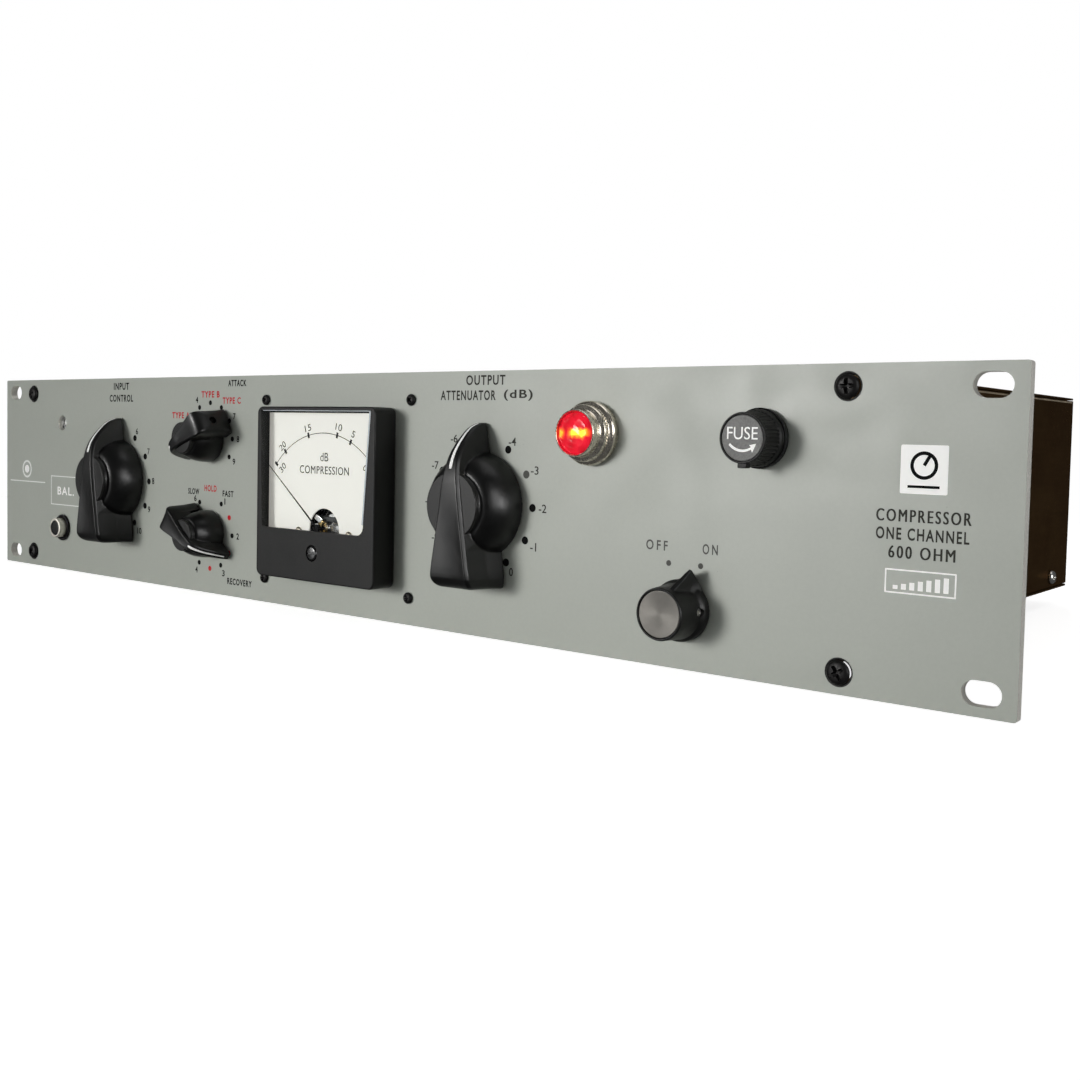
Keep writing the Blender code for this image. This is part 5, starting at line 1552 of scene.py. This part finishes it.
def balance():
    """The sunk trimmer shaft and the push-button."""
    place = FRONT @ shift(*TRIMMER)
    shaft = [(0.0, -0.9), (2.4, -0.9), (2.8, -1.2), (3.0, -1.6), (3.0, -15.0), (0.0, -15.0)]
    bm = carved(turned(shaft, 64, 0.15, 2), boxes((-4.0, 4.0, -0.4, 0.4, -2.2, 1.0)))
    moved(bm, turn=70.0)
    piece("trimmer_shaft", bm, STEEL, "steel_shaft", ("balance_trimmer",), where=place, body="trimmer")
    place = FRONT @ shift(*BUTTON)
    ring = [
        (4.9, -3.5), (4.9, 0.6), (5.1, 1.1), (5.7, 1.1), (6.0, 0.85), (6.05, 0.3), (5.3, 0.3), (5.3, -3.5),
        (7.4, -3.5), (7.4, -6.0), (6.2, -6.0), (6.2, -19.0), (0.0, -19.0), (0.0, -16.6), (4.9, -16.6),
        (4.9, -3.5),
    ]
    piece("button_bush", turned(ring, 72, 0.12, 2), OXIDE, "connector", ("balance_switch",), where=place)
    plunger = [
        (3.5, 4.25), (4.25, 4.25), (4.45, 4.0), (4.45, -13.0), (0.0, -13.0), (0.0, 3.2), (3.5, 3.2),
        (3.5, 4.25),
    ]
    put = partial(piece, where=place, body="push_button")
    put("button_sleeve", turned(plunger, 72, 0.1, 2), SLEEVE, "steel_shaft", ("balance_button",))
    face = turned([(0.0, 4.35), (3.0, 4.3), (3.4, 4.1), (3.5, 3.3), (0.0, 3.3)], 72, 0.1, 2)
    put("button_face", face, POWER_BLACK, "black_knob")


# ---------------------------------------------------------------- chassis


FLAT_AREA = 60.0  # faces larger than this, in mm2, are shaded flat
LID_OVERHANG = 0.4


def cad_skin(node, name, width, material, slot):
    """The CAD solid with its edges softened, as a piece that stands for it."""
    bm = bmesh.new()
    bm.from_mesh(NODES[node].data)
    bm.transform(Matrix.Scale(1.0 / MM, 4))
    bmesh.ops.remove_doubles(bm, verts=bm.verts, dist=0.001)
    bmesh.ops.dissolve_limit(bm, angle_limit=math.radians(1.0), verts=bm.verts, edges=bm.edges)
    if width:
        bm = rounded(bm, width)
    made = piece(name, bm, material, slot, (node,), 35.0, where=Matrix.Identity(4))
    for face in made.data.polygons:
        if face.area > FLAT_AREA * MM * MM:
            face.use_smooth = False


def chassis():
    """The folded shell and its lids, their side screws, and a beige strip under the lid, painted as the
    highlight on the wall's top edge.
    """
    cad_skin("chassis", "chassis_shell", 0.25, BRONZE, "bronze_steel")
    cad_skin("top_cover", "top_lid", 0.2, BRONZE, "bronze_steel")
    cad_skin("bottom_cover", "bottom_lid", 0.2, BRONZE, "bronze_steel")
    for side, facing in (("right", 1.0), ("left", -1.0)):
        for end in ("front", "rear"):
            node = f"cover_screw_{side}_{end}"
            low, high = box_mm(node)
            x = (high.x - 1.9) if side == "right" else (low.x + 1.9)
            where = shift(x, (low.y + high.y) / 2, (low.z + high.z) / 2) @ spin(facing * 90.0, "Y")
            pan_screw(node + "_look", (0.0, 0.0, 0.0), where, 2.85, 1.85, 15.0, ZINC, "zinc")
    # Beige strips just under the lid's sides are a painted highlight on the walls' top edges
    low, high = box_mm("top_cover")
    strips = []
    for wall in (low.x + LID_OVERHANG, high.x - LID_OVERHANG):
        top = CHASSIS_HIGH.z - 0.4
        strips.append((wall - 0.12, wall + 0.12, low.y + 3.0, high.y, top - 0.6, top))
    piece("chassis_rim_highlight", boxes(*strips, bevel=0.08), RIM_HIGHLIGHT, "zinc", where=Matrix.Identity(4))


# ---------------------------------------------------------------- rear connectors


PINS = ((-4.6, 2.3), (4.6, 2.3), (0.0, -4.6))
# Heights of the flanges over the rear wall
SOCKET_FACE = 3.25
INLET_FACE = 2.45


def rear_place(node):
    x, y = panel_place(node)
    return (-x, y)


def rear_panel():
    """Both audio sockets, the latch tab and the mains inlet."""
    for node, female in (("input_xlr", True), ("output_xlr", False)):
        x, y = rear_place(node)
        outline = rounded_rectangle(x - 13.0, x + 13.0, y - 15.5, y + 15.5, 2.5)
        screws = ((x - 9.5, y + 12.0), (x + 9.5, y - 12.0))
        flange = rounded(plate([outline], 0.3, SOCKET_FACE), 0.35, 2, 60.0)
        tools = [rods((*spot, 1.7, -1.0, 5.0), sides=24) for spot in screws]
        if female:
            tools.append(boxes((x - 3.4, x + 3.4, y + 10.9, y + 14.3, 0.8, 5.0)))
            groove = [(9.9, 5.0), (9.9, -13.0), (8.5, -13.0), (8.5, 5.0), (9.9, 5.0)]
            tools.append(lathe_at(groove, x, y, 72))
            tools.append(rods(*[(x + dx, y - dy, 1.35, -10.0, 5.0) for dx, dy in PINS], sides=24))
        else:
            tools.append(rods((x, y, 9.4, -15.0, 5.0), sides=72))
        barrel = rods((x, y, 11.6, -20.0, 2.0), sides=72)
        bm = carved(flange, barrel, operation="UNION")
        bm = carved(bm, *tools)
        piece(node + "_shell", bm, SHELL, "connector", (node,), where=BACK)
        if female:
            cup = [(1.3, 1.4), (1.3, -9.5), (0.75, -9.5), (0.75, 1.4), (1.3, 1.4)]
            cups = [lathe_at(cup, x + dx, y - dy, 32) for dx, dy in PINS]
        else:
            pin = [(0.0, -1.2), (0.7, -1.3), (1.2, -2.2), (1.2, -16.0), (0.0, -16.0)]
            cups = [turned_at(pin, x + dx, y + dy, 32, 0.2) for dx, dy in PINS]
        piece(node + "_contacts", merged(*cups), SILVER, "zinc", where=BACK)
        for k, spot in enumerate(screws):
            piece(
                f"{node}_screw_{k + 1}",
                pan_head(2.4, 0.9, *spot, SOCKET_FACE),
                OXIDE,
                "black_screw",
                where=BACK,
            )
    x, y = rear_place("input_xlr_latch")
    z1 = box_mm("input_xlr_latch")[1].y - ZERO.y - REAR_Y
    bm = boxes((x - 2.9, x + 2.9, y - 1.3, y + 1.3, z1 - 2.2, z1), bevel=0.35)
    grips = [(x + dx - 0.2, x + dx + 0.2, y - 2.0, y + 2.0, z1 - 0.25, z1 + 1.0) for dx in (-1.6, 0.0, 1.6)]
    piece(
        "xlr_latch_tab",
        carved(bm, boxes(*grips)),
        ZINC,
        "zinc",
        ("input_xlr_latch",),
        where=BACK,
        body="xlr_latch",
    )

    x, y = rear_place("mains_inlet")
    outline = rounded_rectangle(x - 25.0, x + 25.0, y - 12.0, y + 12.0, 4.0)
    flange = rounded(plate([outline], 0.3, INLET_FACE), 0.35, 2, 60.0)
    key = [(-12.0, -8.0), (12.0, -8.0), (12.0, 3.6), (7.6, 8.0), (-7.6, 8.0), (-12.0, 3.6)]
    bm = carved(flange, boxes((x - 14.0, x + 14.0, y - 10.0, y + 10.0, -24.0, 1.4)), operation="UNION")
    bm = carved(bm, moved(plate([key], -17.0, 5.0), x, y))
    piece("mains_inlet_shell", bm, SHELL, "connector", ("mains_inlet",), where=BACK)
    blades = []
    for bx, by in ((x - 7.0, y - 2.0), (x, y + 2.0), (x + 7.0, y - 2.0)):
        blades.append((bx - 1.0, bx + 1.0, by - 2.4, by + 2.4, -17.5, -2.0))
    piece("mains_inlet_blades", boxes(*blades, bevel=0.3), SILVER, "zinc", where=BACK)
    for k, dx in enumerate((-20.0, 20.0)):
        piece(
            f"mains_inlet_screw_{k + 1}",
            pan_head(2.9, 1.1, x + dx, y, INLET_FACE),
            OXIDE,
            "black_screw",
            where=BACK,
        )


# ---------------------------------------------------------------- inner parts that keep their CAD shape


def dress(node, material):
    """A better material on a CAD node that stays."""
    mesh = NODES[node].data
    mesh.materials.clear()
    mesh.materials.append(material)


def inner_parts():
    """What sits inside: dressed CAD shapes, transformers, board and valves."""
    for name in ("input", "output", "attack", "recovery", "power"):
        dress(name + "_switch", SWITCH_BROWN)
        dress(name + "_shaft", STEEL)
    dress("balance_pot", SWITCH_BROWN)
    dress("lamp_holder", NICKEL)
    dress("lamp_bulb", BULB)
    cad_skin("power_transformer", "mains_transformer", 0.6, CORE, "transformer")
    cad_skin("output_transformer", "line_transformer", 0.5, CORE, "transformer")
    cad_skin("input_transformer", "input_can", 0.0, CAN, "capacitor")
    cad_skin("filter_capacitor", "filter_can", 0.0, CAN, "capacitor")
    cad_skin("circuit_board", "board", 0.15, BOARD, "board_green")
    for i in (1, 2, 3):
        node = f"valve_{i}"
        low, high = box_mm(node)
        where = shift((low.x + high.x) / 2, (low.y + high.y) / 2, low.z)
        glass = [
            (0.0, 49.0), (0.8, 48.2), (1.2, 46.6), (2.6, 45.4), (6.4, 44.2), (9.2, 42.0), (10.5, 38.4),
            (10.7, 34.0), (10.7, 2.0), (9.8, 0.3), (0.0, 0.3),
        ]
        piece(node + "_envelope", turned(glass, 56, 0.5, 3), VALVE, "valve_glass", (node,), where=where)
        plates = merged(
            boxes((-5.2, 5.2, -2.6, 2.6, 9.0, 33.0), bevel=0.8),
            turned([(0.0, 8.0), (8.4, 8.0), (8.4, 7.2), (0.0, 7.2)], 40, 0.1),
            turned([(0.0, 34.8), (8.4, 34.8), (8.4, 34.0), (0.0, 34.0)], 40, 0.1),
            rods((-3.0, 0.0, 0.45, 1.0, 40.0), (3.0, 0.0, 0.45, 1.0, 40.0), sides=12),
        )
        piece(node + "_electrodes", plates, DARK_STEEL, "steel_shaft", where=where)


# ---------------------------------------------------------------- build

panel()
panel_print()
panel_screws()
pointer_knobs()
power_knob()
meter()
lamp()
fuse()
balance()
chassis()
rear_panel()
inner_parts()


# ---------------------------------------------------------------- floor, light and camera

KEY_POWER = 205.0
SHEEN_POWER = 7.5
SIDE_POWER = 15.0
TOP_POWER = 3.6
REAR_POWER = 17.0
ROOM_DARK = 0.075
ROOM_LIGHT = 1.02
FLOOR_GLOW = 0.84


def stage():
    """A pale floor that runs out into the white of the studio."""
    reach = 9.0
    bm = bmesh.new()
    corners = ((-reach, -2.0), (reach, -2.0), (reach, 14.0), (-reach, 14.0))
    bm.faces.new([bm.verts.new((x, y, -0.0002)) for x, y in corners])
    mesh = bpy.data.meshes.new("floor")
    bm.to_mesh(mesh)
    bm.free()
    look = Look("floor", (0.62, 0.62, 0.62), 0.7, Specular_IOR_Level=0.1)
    look.shade(0.01, 300.0, 2.0)
    look.gloss(0.03, 60.0, 3.0)
    grey = look.shader.outputs[0]
    glow = look.node("ShaderNodeEmission", Strength=FLOOR_GLOW).outputs[0]
    white = look.node("ShaderNodeEmission", Strength=1.0).outputs[0]
    length = look.node("ShaderNodeVectorMath", operation="LENGTH", Vector=look.coords).outputs["Value"]
    near = look.joined("ShaderNodeAddShader", grey, glow)
    seen = look.joined("ShaderNodeMixShader", look.ramp(length, 0.34, 0.75), near, white)
    look.surface(look.node("ShaderNodeLightPath").outputs["Is Camera Ray"], grey, seen)
    mesh.materials.append(look.material)
    floor = bpy.data.objects.new("floor", mesh)
    bpy.context.scene.collection.objects.link(floor)
    floor.visible_glossy = False


def lamp_at(kind, name, place, target, power, **settings):
    """A light of the scene, aimed at target."""
    light = bpy.data.lights.new(name, kind)
    light.energy = power
    for key, value in settings.items():
        setattr(light, key, value)
    made = bpy.data.objects.new(name, light)
    made.location = place
    made.rotation_euler = (Vector(target) - Vector(place)).to_track_quat("-Z", "Y").to_euler()
    bpy.context.scene.collection.objects.link(made)
    return made


def area_light(name, place, target, size, power):
    return lamp_at("AREA", name, place, target, power, shape="RECTANGLE", size=size[0], size_y=size[1])


def lights():
    """A soft lamp at the front left, a little above, and a room that is brighter on that side."""
    key = lamp_at("SPOT", "key", (-0.92, -2.0, 0.18), (0.03, -0.12, -0.15), KEY_POWER, shadow_soft_size=0.42)
    key.data.spot_size = math.radians(24.0)
    key.data.spot_blend = 1.0
    key.data.color = (1.0, 0.99, 0.97)
    sheen = area_light("sheen", (1.35, -0.68, 0.42), (0.05, -0.12, 0.04), (0.60, 0.75), SHEEN_POWER)
    sheen.visible_diffuse = False
    area_light("side", (2.4, -0.30, 0.30), (0.20, -0.12, 0.04), (0.5, 0.5), SIDE_POWER)
    area_light("rear", (-0.9, 1.9, 0.8), (-0.05, 0.14, 0.04), (1.2, 0.8), REAR_POWER)
    area_light("top", (0.2, 0.2, 1.3), (0.0, 0.0, 0.0), (1.2, 0.8), TOP_POWER)
    world = bpy.data.worlds.new("studio")
    bpy.context.scene.world = world
    world.use_nodes = True
    tree = world.node_tree
    room = tree.nodes["Background"]
    room.inputs["Color"].default_value = (0.97, 0.985, 1.0, 1.0)
    coords = tree.nodes.new("ShaderNodeTexCoord")
    toward = tree.nodes.new("ShaderNodeVectorMath")
    toward.operation = "DOT_PRODUCT"
    toward.inputs[1].default_value = Vector((-0.42, -0.88, 0.02)).normalized()
    tree.links.new(coords.outputs["Generated"], toward.inputs[0])
    ramp = tree.nodes.new("ShaderNodeMapRange")
    ramp.interpolation_type = "SMOOTHSTEP"
    limits = {"From Min": 0.86, "From Max": 0.95, "To Min": ROOM_DARK, "To Max": ROOM_LIGHT}
    for socket, value in limits.items():
        ramp.inputs[socket].default_value = value
    tree.links.new(toward.outputs["Value"], ramp.inputs["Value"])
    tree.links.new(ramp.outputs["Result"], room.inputs["Strength"])
    white = tree.nodes.new("ShaderNodeBackground")
    white.inputs["Color"].default_value = (1.0, 1.0, 1.0, 1.0)
    choose = tree.nodes.new("ShaderNodeMixShader")
    path = tree.nodes.new("ShaderNodeLightPath")
    for source, socket in zip(
        (path.outputs["Is Camera Ray"], room.outputs[0], white.outputs[0]), choose.inputs
    ):
        tree.links.new(source, socket)
    tree.links.new(choose.outputs[0], tree.nodes["World Output"].inputs["Surface"])


def camera():
    """The photo's camera, solved from the panel's corners and slots."""
    data = bpy.data.cameras.new("camera")
    data.sensor_width = 36.0
    data.sensor_fit = "HORIZONTAL"
    data.lens = 39.879
    data.shift_y = -0.0451
    data.clip_start = 0.01
    data.clip_end = 30.0
    made = bpy.data.objects.new("camera", data)
    right = Vector((0.78339, 0.62116, 0.02148))
    down = Vector((0.04678, -0.02447, -0.99861))
    ahead = Vector((-0.61976, 0.7833, -0.04823))
    turn = Matrix((right, -down, -ahead)).transposed().to_4x4()
    spot = (ZERO + Vector((327.918, -297.795, 23.817))) * MM
    made.matrix_world = Matrix.Translation(spot) @ turn
    bpy.context.scene.collection.objects.link(made)
    bpy.context.scene.camera = made


stage()
lights()
camera()
bpy.context.scene.view_settings.view_transform = "Standard"
